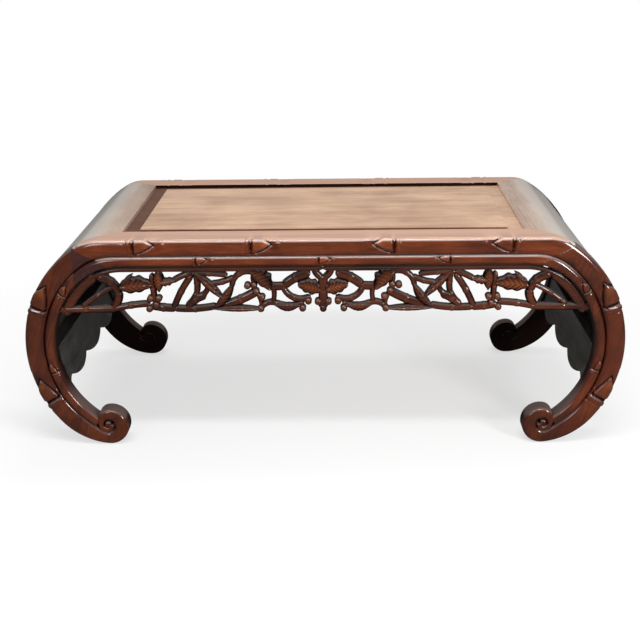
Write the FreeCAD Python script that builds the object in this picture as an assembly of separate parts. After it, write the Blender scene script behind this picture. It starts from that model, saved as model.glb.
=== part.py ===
# Kang table with waterfall ends, scroll feet and pierced bamboo aprons.
# Millimetres. X runs along the table, Y from front to back, Z up from the floor.
# The origin is on the floor under the middle of the top.
import FreeCAD, Part
import math
import os
from FreeCAD import Vector

# Overall size
length = 940.0
depth = 450.0
height = 340.0

# Front frame: the outline of rail, head and leg seen from the front. The circle of the
# leg's main curve stands over the top and reaches under the floor by these two sizes.
curve_over_top = 20.0
curve_under_floor = 30.0
shoulder_radius = 60.0
inner_shoulder_inset = 44.0
leg_width = 46.0
leg_thickness = 31.0
rail_height = 42.0
rail_width = 55.0

# Scroll foot
foot_turn = 40.0
sole_planed = 1.0
scroll_radius = 30.0
scroll_lead = 8.8
throat_radius = 3.0

# Bamboo carving on the front frame
thin_stalk_on_leg = 15.0
thin_stalk_on_rail = 16.0
groove_shoulder_inset = 79.0
groove_half_width = 5.0
groove_depth = 5.0
groove_curl_radius = 25.0
spiral_lead = 4.5
spiral_outer_radius = 10.0
spiral_inner_radius = 6.0
spiral_end_angle = 20.0
spiral_taper_share = 0.8
stalk_chamfer = 5.5
ring_proud = 1.2
ring_length = 3.2
ring_chamfer = 4.0
bud_length = 33.0
bud_proud = 0.8

# Places of the bamboo nodes, measured from the end of the table and as angles on the leg
thick_node_setback = 175.0
thick_node_spacing = 181.0
thin_node_setback = 273.0
thick_node_angles = (19.0, -31.0)
thin_node_angles = (33.0, -16.0)

# Outline of the sheath beside each ring, as shares of its length and of the stalk's width
bud_shares = [(0.0, -0.27), (1.0, 0.19), (0.6, 0.25), (0.0, 0.25)]

# Joint between rail, head block and leg
head_angle = 56.0
head_block_inset = 140.0
head_tenon_width = 18.0
head_tenon_thickness = 10.0
head_tenon_inset = 130.0
head_tenon_height = 31.0
dowel_diameter = 8.0
dowel_sides = 8
dowel_length = 20.0
dowel_low_drop = 53.0
dowel_high_drop = 33.0

# Opening of the top frame, the end rails and the floating panel
opening_setback = 156.0
end_rail_thickness = 33.0
end_rail_angle = 47.0
corner_tenon_length = 28.0
corner_tenon_width = 12.0
corner_tenon_thickness = 10.0
corner_tenon_drop = 23.0
panel_sink = 6.0
panel_field_inset = 24.0
panel_field_rise = 3.5
panel_field_round = 1.5
panel_thickness = 12.0
tongue_thickness = 6.0
tongue_length = 7.5

# Battens under the panel
batten_width = 26.0
batten_height = 20.0
dovetail_height = 4.0
dovetail_flare = 2.0
dovetail_width = 18.0
batten_tenon_length = 12.0
batten_tenon_width = 16.0
batten_tenon_height = 12.0

# Ends: curved panel above, scalloped board below. Insets are from the leg's outer curve.
end_panel_inset = 11.0
end_panel_thickness = 10.0
end_panel_housing = 8.0
end_apron_inset = 5.0
end_apron_thickness = 38.0
end_apron_drop = 10.0
end_apron_height = 64.0
scallop_rise = 10.0
scallop_cusp_inner = 60.0
scallop_cusp_outer = 168.0
end_tenon_length = 15.0
end_tenon_inset = 19.0
end_tenon_thickness = 12.0
end_tenon_start_angle = -8.0
end_tenon_end_angle = -20.0

# Pierced apron
apron_front_setback = 11.0
apron_thickness = 11.0
apron_height = 72.5
apron_reveal = 5.5
apron_leg_gap = 2.5
apron_band = 6.0
apron_tongue_thickness = 5.0
apron_tongue_length = 10.0
apron_tongue_setback = 170.0
apron_ear_length = 7.0
apron_ear_height = 8.0
leaf_cuts = 5
leaf_proud = 1.5
berry_radius = 5.5
berry_sides = 8
berry_proud = 2.5
wing_border = 16.0
wing_start_angle = 22.0
wing_end_angle = 56.0

# The carving of the apron is laid out on this many squares, along its half and up
squares_along_share = 41.0
squares_up_share = 7.25

# Working allowances
fit = 0.15
overrun = 3.0

# Derived places
half_length = length / 2
half_depth = depth / 2
face_y = -half_depth + ring_proud
leg_back_y = -half_depth + leg_thickness
opening_half_length = half_length - opening_setback
opening_half_depth = half_depth - rail_width
rail_bottom = height - rail_height
curve_radius = (height + curve_over_top + curve_under_floor) / 2
belly_height = curve_radius - curve_under_floor
curve_x = half_length - curve_radius
inner_radius = curve_radius - leg_width
inner_shoulder_radius = inner_radius - inner_shoulder_inset
groove_radius = inner_radius + thin_stalk_on_leg
groove_shoulder_radius = groove_radius - groove_shoulder_inset
groove_height = rail_bottom + thin_stalk_on_rail
thick_stalk_on_rail = rail_height - thin_stalk_on_rail
curve_centre = Vector(curve_x, 0, belly_height)
thick_node_far = half_length - thick_node_setback
thick_node_near = thick_node_far - thick_node_spacing
thin_node_far = half_length - thin_node_setback
end_panel_radius = curve_radius - end_panel_inset
end_apron_outer_radius = curve_radius - end_apron_inset
end_apron_inner_radius = end_apron_outer_radius - end_apron_thickness
end_apron_top = belly_height - end_apron_drop
end_apron_bottom = end_apron_top - end_apron_height
end_tenon_outer_radius = curve_radius - end_tenon_inset
end_tenon_inner_radius = end_tenon_outer_radius - end_tenon_thickness
apron_tongue_half_length = half_length - apron_tongue_setback
corner_tenon_height = height - corner_tenon_drop


def polar(centre, radius, degrees, y=0.0):
    """Point on a circle in the front view; 0 degrees points outwards, 90 up."""
    angle = math.radians(degrees)
    return Vector(centre.x + radius * math.cos(angle), y, centre.z + radius * math.sin(angle))


def angle_of(centre, point):
    return math.degrees(math.atan2(point.z - centre.z, point.x - centre.x))


def arc_between(centre, radius, start, end):
    """Arc edge in the front view from one angle to another, in degrees."""
    middle = (start + end) / 2
    return Part.Arc(polar(centre, radius, start), polar(centre, radius, middle),
                    polar(centre, radius, end)).toShape()


def straight(start, end):
    return Part.LineSegment(start, end).toShape()


def circles_meet(centre_a, radius_a, centre_b, radius_b, side):
    """Crossing point of two circles in the front view; side picks one of the two."""
    across = centre_b.sub(centre_a)
    gap = across.Length
    along = (gap * gap + radius_a * radius_a - radius_b * radius_b) / (2 * gap)
    off = side * math.sqrt(radius_a * radius_a - along * along)
    unit = across.multiply(1 / gap)
    return Vector(centre_a.x + unit.x * along - unit.z * off, 0,
                  centre_a.z + unit.z * along + unit.x * off)


def shoulder(level, main_radius, blend_radius):
    """Arc that joins a level line to the main circle of the leg: its centre and end angle."""
    rise = level - blend_radius - belly_height
    run = math.sqrt((main_radius - blend_radius) ** 2 - rise * rise)
    centre = Vector(curve_x + run, 0, level - blend_radius)
    return centre, math.degrees(math.atan2(rise, run))


def prism(edges, y_start, y_end):
    """Solid between two planes of constant Y, from a closed outline in the front view."""
    face = Part.Face(Part.Wire(Part.sortEdges(edges)[0]))
    face.translate(Vector(0, y_start, 0))
    return face.extrude(Vector(0, y_end - y_start, 0))


def block(x_start, x_end, y_start, y_end, z_start, z_end):
    size = (x_end - x_start, y_end - y_start, z_end - z_start)
    return Part.makeBox(size[0], size[1], size[2], Vector(x_start, y_start, z_start))


def polygon_prism(points, y_start, y_end):
    corners = points + [points[0]]
    edges = [straight(a, b) for a, b in zip(corners, corners[1:])]
    return prism(edges, y_start, y_end)


def ring_sector(inner, outer, start, end, y_start, y_end):
    """Curved board: the sector between two circles about the leg's centre."""
    edges = [arc_between(curve_centre, outer, start, end),
             straight(polar(curve_centre, outer, end), polar(curve_centre, inner, end)),
             arc_between(curve_centre, inner, end, start),
             straight(polar(curve_centre, inner, start), polar(curve_centre, outer, start))]
    return prism(edges, y_start, y_end)


def mirror_x(shape):
    return shape.mirror(Vector(0, 0, 0), Vector(1, 0, 0))


def mirror_y(shape):
    return shape.mirror(Vector(0, 0, 0), Vector(0, 1, 0))


def one_solid(shape):
    """The shape as a single solid, so that a loose scrap is never written out."""
    solids = shape.removeSplitter().Solids
    if len(solids) != 1:
        raise ValueError("expected one solid, found " + str(len(solids)))
    return solids[0]


# Scroll foot, worked out from the outer curve
foot_sine = math.sin(math.radians(foot_turn))
foot_radius = (belly_height + sole_planed - curve_radius * foot_sine) / (1 - foot_sine)
foot_centre = polar(curve_centre, curve_radius - foot_radius, -foot_turn)
scroll_x = foot_centre.x + scroll_lead
scroll_drop = math.sqrt((foot_radius - scroll_radius) ** 2 - scroll_lead ** 2)
scroll_centre = Vector(scroll_x, 0, foot_centre.z - scroll_drop)
throat_centre = circles_meet(curve_centre, inner_radius - throat_radius,
                             scroll_centre, scroll_radius + throat_radius, 1)

# Joint lines at the head of the leg
head_outer = polar(curve_centre, curve_radius, head_angle)
head_inner = Vector(half_length - head_block_inset, 0, rail_bottom)
mitre_corner = Vector(head_outer.x, -half_depth, 0)
opening_corner = Vector(opening_half_length, -opening_half_depth, 0)


def frame_outline():
    """Closed outline of the right half of the front frame, from the middle to the scroll."""
    top_centre, top_angle = shoulder(height, curve_radius, shoulder_radius)
    under_centre, under_angle = shoulder(rail_bottom, inner_radius, inner_shoulder_radius)
    foot_end = angle_of(foot_centre, scroll_centre)
    throat_on_scroll = angle_of(scroll_centre, throat_centre)
    throat_on_leg = angle_of(curve_centre, throat_centre)
    return [
        straight(Vector(0, 0, height), Vector(top_centre.x, 0, height)),
        arc_between(top_centre, shoulder_radius, 90, top_angle),
        arc_between(curve_centre, curve_radius, top_angle, -foot_turn),
        arc_between(foot_centre, foot_radius, -foot_turn, foot_end),
        arc_between(scroll_centre, scroll_radius, foot_end, throat_on_scroll - 360),
        arc_between(throat_centre, throat_radius, throat_on_scroll - 180, throat_on_leg),
        arc_between(curve_centre, inner_radius, throat_on_leg, under_angle),
        arc_between(under_centre, inner_shoulder_radius, under_angle, 90),
        straight(Vector(under_centre.x, 0, rail_bottom), Vector(0, 0, rail_bottom)),
        straight(Vector(0, 0, rail_bottom), Vector(0, 0, height)),
    ]


def groove_section(place, taper):
    """V section of the groove between the stalks; taper narrows it and place puts it in space."""
    half = groove_half_width * taper
    corners = [place(-half, -overrun), place(-half, 0), place(0, groove_depth * taper),
               place(half, 0), place(half, -overrun)]
    corners.append(corners[0])
    return Part.Face(Part.Wire([straight(a, b) for a, b in zip(corners, corners[1:])]))


def groove_bend(centre, radius, start, end, taper):
    """Part of the groove that follows an arc of the front view."""
    angle = math.radians(start)

    def place(across, sink):
        reach = radius + across
        return Vector(centre.x + reach * math.cos(angle), face_y + sink,
                      centre.z + reach * math.sin(angle))
    turn = end - start
    axis = Vector(0, -1, 0) if turn > 0 else Vector(0, 1, 0)
    return groove_section(place, taper).revolve(centre, axis, abs(turn))


def groove_cutters():
    """Groove between the two stalks, ending in the narrowing spiral of the scroll."""
    centre, angle = shoulder(groove_height, groove_radius, groove_shoulder_radius)
    spiral_x = scroll_x + spiral_lead
    curl_drop = math.sqrt((groove_radius - groove_curl_radius) ** 2 - (spiral_x - curve_x) ** 2)
    curl_centre = Vector(spiral_x, 0, belly_height - curl_drop)
    curl_angle = angle_of(curve_centre, curl_centre)
    turn_bottom = curl_centre.z - groove_curl_radius
    outer_turn = Vector(spiral_x, 0, turn_bottom + spiral_outer_radius)
    inner_turn = Vector(spiral_x, 0, outer_turn.z + spiral_outer_radius - spiral_inner_radius)

    def rail_place(across, sink):
        return Vector(-overrun, face_y + sink, groove_height + across)
    taper = spiral_taper_share
    return [
        groove_section(rail_place, 1).extrude(Vector(centre.x + overrun, 0, 0)),
        groove_bend(centre, groove_shoulder_radius, 90, angle, 1),
        groove_bend(curve_centre, groove_radius, angle, curl_angle, 1),
        groove_bend(curl_centre, groove_curl_radius, curl_angle, -90, taper),
        groove_bend(outer_turn, spiral_outer_radius, -90, -270, taper ** 2),
        groove_bend(inner_turn, spiral_inner_radius, 90, -spiral_end_angle, taper ** 3),
    ]


def ring_face(place, width):
    """Section of a raised bamboo ring; place puts (distance from groove, depth) in space."""
    inner = ring_length / 2
    root = stalk_chamfer + ring_proud
    corners = [place(inner, root), place(inner, ring_chamfer), place(inner + ring_chamfer, 0),
               place(width - ring_chamfer, 0), place(width, ring_chamfer), place(width, root)]
    corners.append(corners[0])
    return Part.Face(Part.Wire([straight(a, b) for a, b in zip(corners, corners[1:])]))


def bud(place, width):
    """Pointed sheath carved on a stalk beside its ring; place puts (along, across) in space."""
    reach = bud_length * width / thick_stalk_on_rail
    corners = [place(along * reach, across * width) for along, across in bud_shares]
    return polygon_prism(corners, face_y - bud_proud, face_y + overrun)


def rail_node(x, side):
    """Node on the rail: a ring, and on the thick stalk, whose side is 1, a bud as well."""
    width = thick_stalk_on_rail if side > 0 else thin_stalk_on_rail
    face = ring_face(lambda u, v: Vector(x, v - half_depth, groove_height + side * u), width)
    ring = face.extrude(Vector(ring_length, 0, 0))
    start = x + ring_length / 2
    level = groove_height + width / 2
    sheath = bud(lambda along, across: Vector(start - along, 0, level + across), width)
    return [ring, sheath] if side > 0 else [ring]


def leg_node(degrees, side):
    """Node on the leg: a ring, and on the thick stalk, whose side is 1, a bud as well."""
    width = leg_width - thin_stalk_on_leg + ring_proud if side > 0 else thin_stalk_on_leg
    angle = math.radians(degrees)

    def ring_place(u, v):
        radius = groove_radius + side * u
        return Vector(curve_x + radius * math.cos(angle), v - half_depth,
                      belly_height + radius * math.sin(angle))
    turn = math.degrees(ring_length / groove_radius)
    ring = ring_face(ring_place, width).revolve(curve_centre, Vector(0, 1, 0), turn)
    middle = groove_radius + width / 2

    def bud_place(along, across):
        return polar(curve_centre, middle + across, degrees - turn / 2 + math.degrees(along / middle))
    return [ring, bud(bud_place, width)] if side > 0 else [ring]


def front_blank():
    """Right half of the front frame in one piece: chamfered, grooved, ringed and soled."""
    raw = prism(frame_outline(), face_y, leg_back_y)
    edges = [edge for edge in raw.Edges
             if all(abs(v.Point.y - face_y) < fit for v in edge.Vertexes)
             and not all(abs(v.Point.x) < fit for v in edge.Vertexes)]
    carved = raw.makeChamfer(stalk_chamfer, edges)
    shavings = raw.cut(carved)
    for cutter in groove_cutters():
        carved = carved.cut(cutter)
    nodes = rail_node(thick_node_near, 1) + rail_node(thick_node_far, 1) + rail_node(thin_node_far, -1)
    for degrees in thick_node_angles:
        nodes += leg_node(degrees, 1)
    for degrees in thin_node_angles:
        nodes += leg_node(degrees, -1)
    carved = carved.fuse(nodes)
    above_floor = block(-overrun, length, -depth, depth, 0, length)
    return carved.common(above_floor), shavings


def head_prism(y_start, y_end):
    """Region under the mitre, inboard of the leg's joint line."""
    lower = head_inner.add(head_inner.sub(head_outer).multiply(1 / 4))
    corners = [head_outer, lower, Vector(lower.x, 0, belly_height), Vector(head_outer.x, 0, belly_height)]
    return polygon_prism(corners, y_start, y_end)


def plan_prism(points, z_start, z_end):
    """Upright solid over an outline in plan."""
    corners = [Vector(x, y, z_start) for x, y in points]
    corners.append(corners[0])
    face = Part.Face(Part.Wire([straight(a, b) for a, b in zip(corners, corners[1:])]))
    return face.extrude(Vector(0, 0, z_end - z_start))


def mitre_front():
    """Everything on the front side of the plan mitre at the right front corner."""
    slope = (mitre_corner.y - opening_corner.y) / (mitre_corner.x - opening_corner.x)
    outer = mitre_corner.x + rail_width
    inner = opening_corner.x - rail_width
    points = [(inner, opening_corner.y + slope * (inner - opening_corner.x)),
              (outer, opening_corner.y + slope * (outer - opening_corner.x)),
              (outer, -depth), (inner, -depth)]
    return plan_prism(points, 0, length)


def tongue_groove(x_start, x_end, y_start, y_end):
    level = height - panel_sink - panel_thickness
    return block(x_start, x_end, y_start, y_end, level - fit, level + tongue_thickness + fit)


def corner_tenon(slack):
    """Tenon of the long rail that runs into the end rail."""
    outer = leg_back_y + overrun
    reach = corner_tenon_length + slack
    slope = (mitre_corner.x - opening_corner.x) / (opening_corner.y - mitre_corner.y)
    near = opening_corner.x + slope * (opening_corner.y - outer)
    return block(opening_corner.x - overrun, near + reach, outer - slack, outer + corner_tenon_width + slack,
                 corner_tenon_height - slack, corner_tenon_height + corner_tenon_thickness + slack)


def head_tenon(slack):
    """Tenon of the head block that runs up into the long rail."""
    start = half_length - head_tenon_inset
    middle = (face_y + leg_back_y) / 2
    half = head_tenon_thickness / 2 + slack
    return block(start - slack, start + head_tenon_width + slack, middle - half, middle + half,
                 rail_bottom, rail_bottom + head_tenon_height + slack)


def batten_tenon(x, slack):
    half = batten_tenon_width / 2 + slack
    level = height - panel_sink - panel_thickness - batten_height / 2
    rise = batten_tenon_height / 2 + slack
    return block(x - half, x + half, -opening_half_depth - batten_tenon_length - slack,
                 -opening_half_depth + overrun, level - rise, level + rise)


batten_x = opening_half_length / 3


def apron_groove():
    middle = -half_depth + apron_front_setback + apron_thickness / 2
    half = apron_tongue_thickness / 2 + fit
    deep = apron_tongue_length - apron_reveal + fit
    return block(-overrun, apron_tongue_half_length + fit, middle - half, middle + half,
                 rail_bottom - overrun, rail_bottom + deep)


dowel_levels = [height - dowel_low_drop, height - dowel_high_drop]


def dowel(level, slack):
    """Whittled eight-sided peg across the joint of head block and leg."""
    middle = (face_y + leg_back_y) / 2
    radius = dowel_diameter / 2 + slack
    start = head_outer.x - dowel_length / 2 - slack
    corners = []
    for side in range(dowel_sides + 1):
        angle = 2 * math.pi * side / dowel_sides
        corners.append(Vector(start, middle + radius * math.cos(angle), level + radius * math.sin(angle)))
    return Part.Face(Part.makePolygon(corners)).extrude(Vector(dowel_length + 2 * slack, 0, 0))


def long_rail(blank):
    """Front rail: half made from the carved blank, then mirrored across the table."""
    upper = blank.common(block(0, head_outer.x, -depth, depth, belly_height, length))
    front = upper.cut(head_prism(-depth, depth))
    back = block(0, head_outer.x, leg_back_y, -opening_half_depth, rail_bottom, height)
    half = front.fuse(back).common(mitre_front())
    inboard = front.fuse(back).common(block(0, opening_corner.x - rail_width + overrun, -depth, depth,
                                            0, length))
    half = half.fuse(inboard)
    half = half.cut(tongue_groove(-overrun, opening_half_length + tongue_length + fit,
                                  -opening_half_depth - tongue_length - fit,
                                  -opening_half_depth + overrun))
    half = half.cut(apron_groove()).cut(batten_tenon(batten_x, fit)).cut(head_tenon(fit))
    half = half.fuse(corner_tenon(0))
    return one_solid(half.fuse(mirror_x(half)))


def end_rail(shavings):
    """Right end rail: top board that turns down over the shoulder."""
    top_centre, top_angle = shoulder(height, curve_radius, shoulder_radius)
    inner = curve_radius - end_rail_thickness
    under = height - end_rail_thickness
    under_angle = math.degrees(math.asin((under - belly_height) / inner))
    start = Vector(opening_half_length, 0, under)
    profile = [
        straight(Vector(opening_half_length, 0, height), Vector(top_centre.x, 0, height)),
        arc_between(top_centre, shoulder_radius, 90, top_angle),
        arc_between(curve_centre, curve_radius, top_angle, end_rail_angle),
        straight(polar(curve_centre, curve_radius, end_rail_angle),
                 polar(curve_centre, inner, end_rail_angle)),
        arc_between(curve_centre, inner, end_rail_angle, under_angle),
        straight(polar(curve_centre, inner, under_angle), start),
        straight(start, Vector(opening_half_length, 0, height)),
    ]
    board = prism(profile, face_y, -face_y)
    outer_side = block(head_outer.x, length, -depth, leg_back_y, 0, length)
    for cutter in (mitre_front(), head_prism(-depth, leg_back_y), outer_side, shavings,
                   corner_tenon(fit), head_tenon(fit)):
        board = board.cut(cutter).cut(mirror_y(cutter))
    side = opening_half_depth + tongue_length + fit
    board = board.cut(tongue_groove(opening_half_length - overrun,
                                    opening_half_length + tongue_length + fit, -side, side))
    board = board.cut(end_panel(fit))
    return one_solid(board)


def end_panel(slack):
    """Curved board that closes the end; slack makes the groove that houses it."""
    outer = end_panel_radius + slack
    inner = end_panel_radius - end_panel_thickness - slack
    apron_angle = math.degrees(math.asin((end_apron_top - belly_height) / end_panel_radius))
    housed = math.degrees((end_panel_housing + slack) / end_panel_radius)
    side = -leg_back_y + end_panel_housing + slack
    return ring_sector(inner, outer, apron_angle - housed, end_rail_angle + housed, -side, side)


def end_tenon(slack):
    side = -leg_back_y + end_tenon_length + slack
    turn = math.degrees(slack / end_tenon_outer_radius)
    return ring_sector(end_tenon_inner_radius - slack, end_tenon_outer_radius + slack,
                       end_tenon_end_angle - turn, end_tenon_start_angle + turn, -side, side)


def end_apron():
    """Right scalloped board, curved like the leg, with its tenons."""
    start = math.degrees(math.asin((end_apron_bottom - belly_height) / end_apron_inner_radius))
    side = -leg_back_y
    sector = ring_sector(end_apron_inner_radius, end_apron_outer_radius, start * 1.5, 0, -side, side)
    slab = block(curve_x, half_length, -side, side, end_apron_bottom, end_apron_top)
    board = sector.common(slab)
    cusp = end_apron_bottom + scallop_rise
    places = [-side, -scallop_cusp_outer, -scallop_cusp_inner, scallop_cusp_inner, scallop_cusp_outer, side]
    levels = [end_apron_bottom] + [cusp] * (len(places) - 2) + [end_apron_bottom]
    points = [Vector(0, y, z) for y, z in zip(places, levels)]
    edges = []
    for index in range(len(points) - 1):
        a = points[index]
        b = points[index + 1]
        low = Vector(0, (a.y + b.y) / 2, end_apron_bottom)
        if index in (0, len(points) - 2):
            low.z = (a.z + b.z) / 2 + scallop_rise / 5
        edges.append(Part.Arc(a, low, b).toShape())
    below = end_apron_bottom - scallop_rise
    edges.append(straight(points[-1], Vector(0, side, below)))
    edges.append(straight(Vector(0, side, below), Vector(0, -side, below)))
    edges.append(straight(Vector(0, -side, below), points[0]))
    cutter = Part.Face(Part.Wire(edges)).extrude(Vector(length, 0, 0))
    return one_solid(board.cut(cutter).fuse(end_tenon(0)).cut(end_panel(fit)))


def leg(blank):
    """Right front leg: C-shaped plank with the scroll foot."""
    plank = blank.cut(block(-overrun, head_outer.x, -depth, depth, belly_height, length))
    for level in dowel_levels:
        plank = plank.cut(dowel(level, fit))
    plank = plank.cut(end_panel(fit)).cut(end_tenon(fit)).cut(apron_ear(fit))
    return one_solid(plank)


def head_block(blank):
    """Right front head block between rail and leg, with its tenon."""
    body = blank.common(head_prism(-depth, depth))
    tenon = head_tenon(0).common(mitre_front())
    body = body.fuse(tenon)
    for level in dowel_levels:
        body = body.cut(dowel(level, fit))
    return one_solid(body)


def floating_panel():
    """Panel with raised field, tongue all round and two dovetail slots underneath."""
    low = height - panel_sink - panel_thickness
    x = opening_half_length - fit
    y = opening_half_depth - fit
    body = block(-x, x, -y, y, low, height - panel_sink)
    tongue = block(-x - tongue_length, x + tongue_length, -y - tongue_length, y + tongue_length,
                   low, low + tongue_thickness)
    field = block(-opening_half_length + panel_field_inset, opening_half_length - panel_field_inset,
                  -opening_half_depth + panel_field_inset, opening_half_depth - panel_field_inset,
                  low, height - panel_sink + panel_field_rise)
    top = height - panel_sink + panel_field_rise
    rim = [edge for edge in field.Edges if all(abs(v.Point.z - top) < fit for v in edge.Vertexes)]
    panel = body.fuse([tongue, field.makeFillet(panel_field_round, rim)])
    for x in (-batten_x, batten_x):
        panel = panel.cut(dovetail(x, fit))
    return one_solid(panel)


def dovetail(x, slack):
    """Key along the top of a batten, wider at its top than at its root."""
    level = height - panel_sink - panel_thickness
    root = dovetail_width / 2 + slack
    top = root + dovetail_flare
    side = opening_half_depth - fit
    corners = [Vector(x - root, 0, level), Vector(x - top, 0, level + dovetail_height + slack),
               Vector(x + top, 0, level + dovetail_height + slack), Vector(x + root, 0, level)]
    return polygon_prism(corners, -side - slack, side + slack)


def batten(x):
    level = height - panel_sink - panel_thickness
    side = opening_half_depth - fit
    body = block(x - batten_width / 2, x + batten_width / 2, -side, side, level - batten_height, level)
    tenon = batten_tenon(x, 0)
    return one_solid(body.fuse([dovetail(x, 0), tenon, mirror_y(tenon)]))


# Pierced apron
apron_top = rail_bottom - apron_reveal
apron_bottom = apron_top - apron_height
apron_radius = inner_radius - apron_leg_gap
apron_half_length = curve_x + math.sqrt(apron_radius ** 2 - (apron_bottom - belly_height) ** 2)
apron_face_y = -half_depth + apron_front_setback
square_along = apron_half_length / squares_along_share
square_up = apron_height / squares_up_share
smallest_window = square_up ** 2 / 5

# Stems as arcs through three places. All shares are of a square: width, then places
# counted along from the middle of the table and up from the bottom of the apron.
stem_shares = [
    (1.05, (34.8, 5.70), (32.9, 4.90), (31.9, 3.25)),
    (1.05, (31.9, 3.25), (32.0, 2.10), (32.7, 0.95)),
    (0.60, (32.3, 4.35), (35.0, 2.90), (37.5, 1.05)),
    (0.85, (41.5, 0.50), (36.9, 0.60), (32.6, 0.60)),
    (0.75, (32.6, 0.65), (30.4, 1.10), (27.3, 1.40)),
    (0.90, (26.7, 1.05), (24.9, 0.75), (23.1, 0.65)),
    (0.80, (23.1, 0.65), (20.2, 0.55), (16.8, 0.95)),
    (0.80, (23.3, 0.75), (22.2, 3.15), (20.5, 5.75)),
    (0.70, (20.6, 6.35), (21.9, 5.85), (23.2, 5.15)),
    (0.75, (19.7, 6.25), (19.5, 4.80), (19.6, 3.25)),
    (0.65, (17.9, 4.15), (18.4, 3.05), (19.6, 2.65)),
    (0.90, (18.4, 2.65), (19.8, 2.05), (21.1, 0.95)),
    (0.75, (19.7, 3.05), (20.1, 2.25), (21.2, 1.05)),
    (0.60, (20.2, 6.35), (17.7, 6.25), (15.0, 6.00)),
    (0.65, (14.0, 5.55), (15.4, 4.95), (17.2, 4.65)),
    (0.70, (10.6, 6.35), (13.0, 6.15), (14.1, 4.25)),
    (1.05, (10.4, 3.25), (12.5, 2.15), (15.4, 1.05)),
    (0.60, (7.8, 4.05), (7.6, 3.05), (7.8, 1.65)),
    (0.70, (9.8, 0.35), (8.9, 1.35), (7.3, 1.40)),
    (0.70, (7.3, 1.40), (5.3, 0.95), (3.2, 1.40)),
    (0.95, (8.1, 4.15), (7.0, 4.10), (6.0, 4.20)),
    (1.10, (6.0, 4.25), (4.5, 5.35), (2.2, 6.15)),
    (0.70, (6.1, 3.85), (5.1, 2.55), (2.2, 2.35)),
    (0.80, (0.3, 0.85), (0.2, 3.35), (0.3, 5.75)),
    (0.80, (0.3, 5.55), (0.9, 6.05), (1.3, 6.85)),
    (0.70, (26.5, 6.05), (26.4, 4.05), (26.3, 1.85)),
    (0.50, (10.9, 4.05), (9.9, 2.45), (9.6, 0.65)),
    (0.50, (10.9, 5.75), (10.8, 4.85), (10.5, 4.05)),
]

# Leaves: base, tip, and the bulge of the left and the right side as shares of the leaf's length
leaf_shares = [
    ((31.6, 4.15), (26.5, 4.55), 0.21, 0.32),
    ((31.2, 4.65), (29.5, 6.25), 0.15, 0.15),
    ((25.5, 7.05), (25.4, 3.45), 0.26, 0.24),
    ((25.3, 4.95), (22.9, 5.30), 0.31, 0.20),
    ((19.9, 6.65), (15.4, 2.15), 0.10, 0.10),
    ((17.1, 0.55), (13.8, 4.75), 0.20, 0.06),
    ((17.3, 0.65), (9.3, 0.55), 0.06, 0.06),
    ((11.1, 6.55), (8.1, 3.65), 0.17, 0.45),
    ((7.6, 1.25), (3.5, 1.15), 0.26, 0.05),
    ((0.4, 3.55), (3.9, 4.55), 0.36, 0.30),
]

# Berries: places of their centres
berry_shares = [
    (25.6, 2.30), (26.9, 2.30), (26.0, 1.25), (27.1, 0.65),
    (10.7, 4.35), (11.7, 4.30), (10.4, 3.35), (9.5, 2.40), (9.7, 0.55),
    (0.0, 0.55), (0.8, 1.65), (2.3, 1.75), (3.2, 0.60),
]


def on_apron(share):
    return Vector(share[0] * square_along, 0, apron_bottom + share[1] * square_up)


def leaf_wire(base, tip, left, right):
    """Leaf outline in the front view, cut in even steps, with its own bulge on each side."""
    along = tip.sub(base)
    side = Vector(-along.z, 0, along.x).normalize()
    places = [(step, left) for step in range(leaf_cuts)]
    places += [(step, -right) for step in range(leaf_cuts, 0, -1)]
    corners = []
    for step, bulge in places:
        share = step / leaf_cuts
        off = bulge * math.sin(math.pi * share)
        corners.append(base.add(Vector(along).multiply(share)).add(Vector(side).multiply(off)))
    return Part.makePolygon(corners + [corners[0]])


def stem_face(width_share, *shares):
    """Strip of even width along an arc, with chamfered ends."""
    start, middle, end = [on_apron(share) for share in shares]
    centre = Part.Arc(start, middle, end).toShape().Curve.Center
    half = width_share * square_up / 2

    def moved(point, across, past=0.0, other=None):
        """Point moved away from the arc's centre, and past its end where another place is given."""
        away = point.sub(centre).normalize()
        ahead = Vector(-away.z, 0, away.x)
        if other is not None and ahead.dot(other.sub(point)) > 0:
            ahead = ahead.multiply(-1)
        return point.add(away.multiply(across)).add(ahead.multiply(past))
    nose = half / 2
    end_points = [moved(end, half), moved(end, nose, half, middle), moved(end, -nose, half, middle),
                  moved(end, -half)]
    start_points = [moved(start, -half), moved(start, -nose, half, middle), moved(start, nose, half, middle),
                    moved(start, half)]
    edges = [Part.Arc(moved(start, half), moved(middle, half), moved(end, half)).toShape(),
             Part.Arc(moved(end, -half), moved(middle, -half), moved(start, -half)).toShape()]
    for points in (end_points, start_points):
        edges += [straight(a, b) for a, b in zip(points, points[1:])]
    return Part.Face(Part.Wire(Part.sortEdges(edges)[0]))


def leaf_face(base_share, tip_share, left_share, right_share):
    base = on_apron(base_share)
    tip = on_apron(tip_share)
    reach = base.distanceToPoint(tip)
    return Part.Face(leaf_wire(base, tip, left_share * reach, right_share * reach))


def berry_face(share):
    """Berry as the carver blocks it out, with even sides."""
    middle = on_apron(share)
    corners = [polar(middle, berry_radius, 360 * side / berry_sides) for side in range(berry_sides + 1)]
    return Part.Face(Part.makePolygon(corners))


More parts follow.
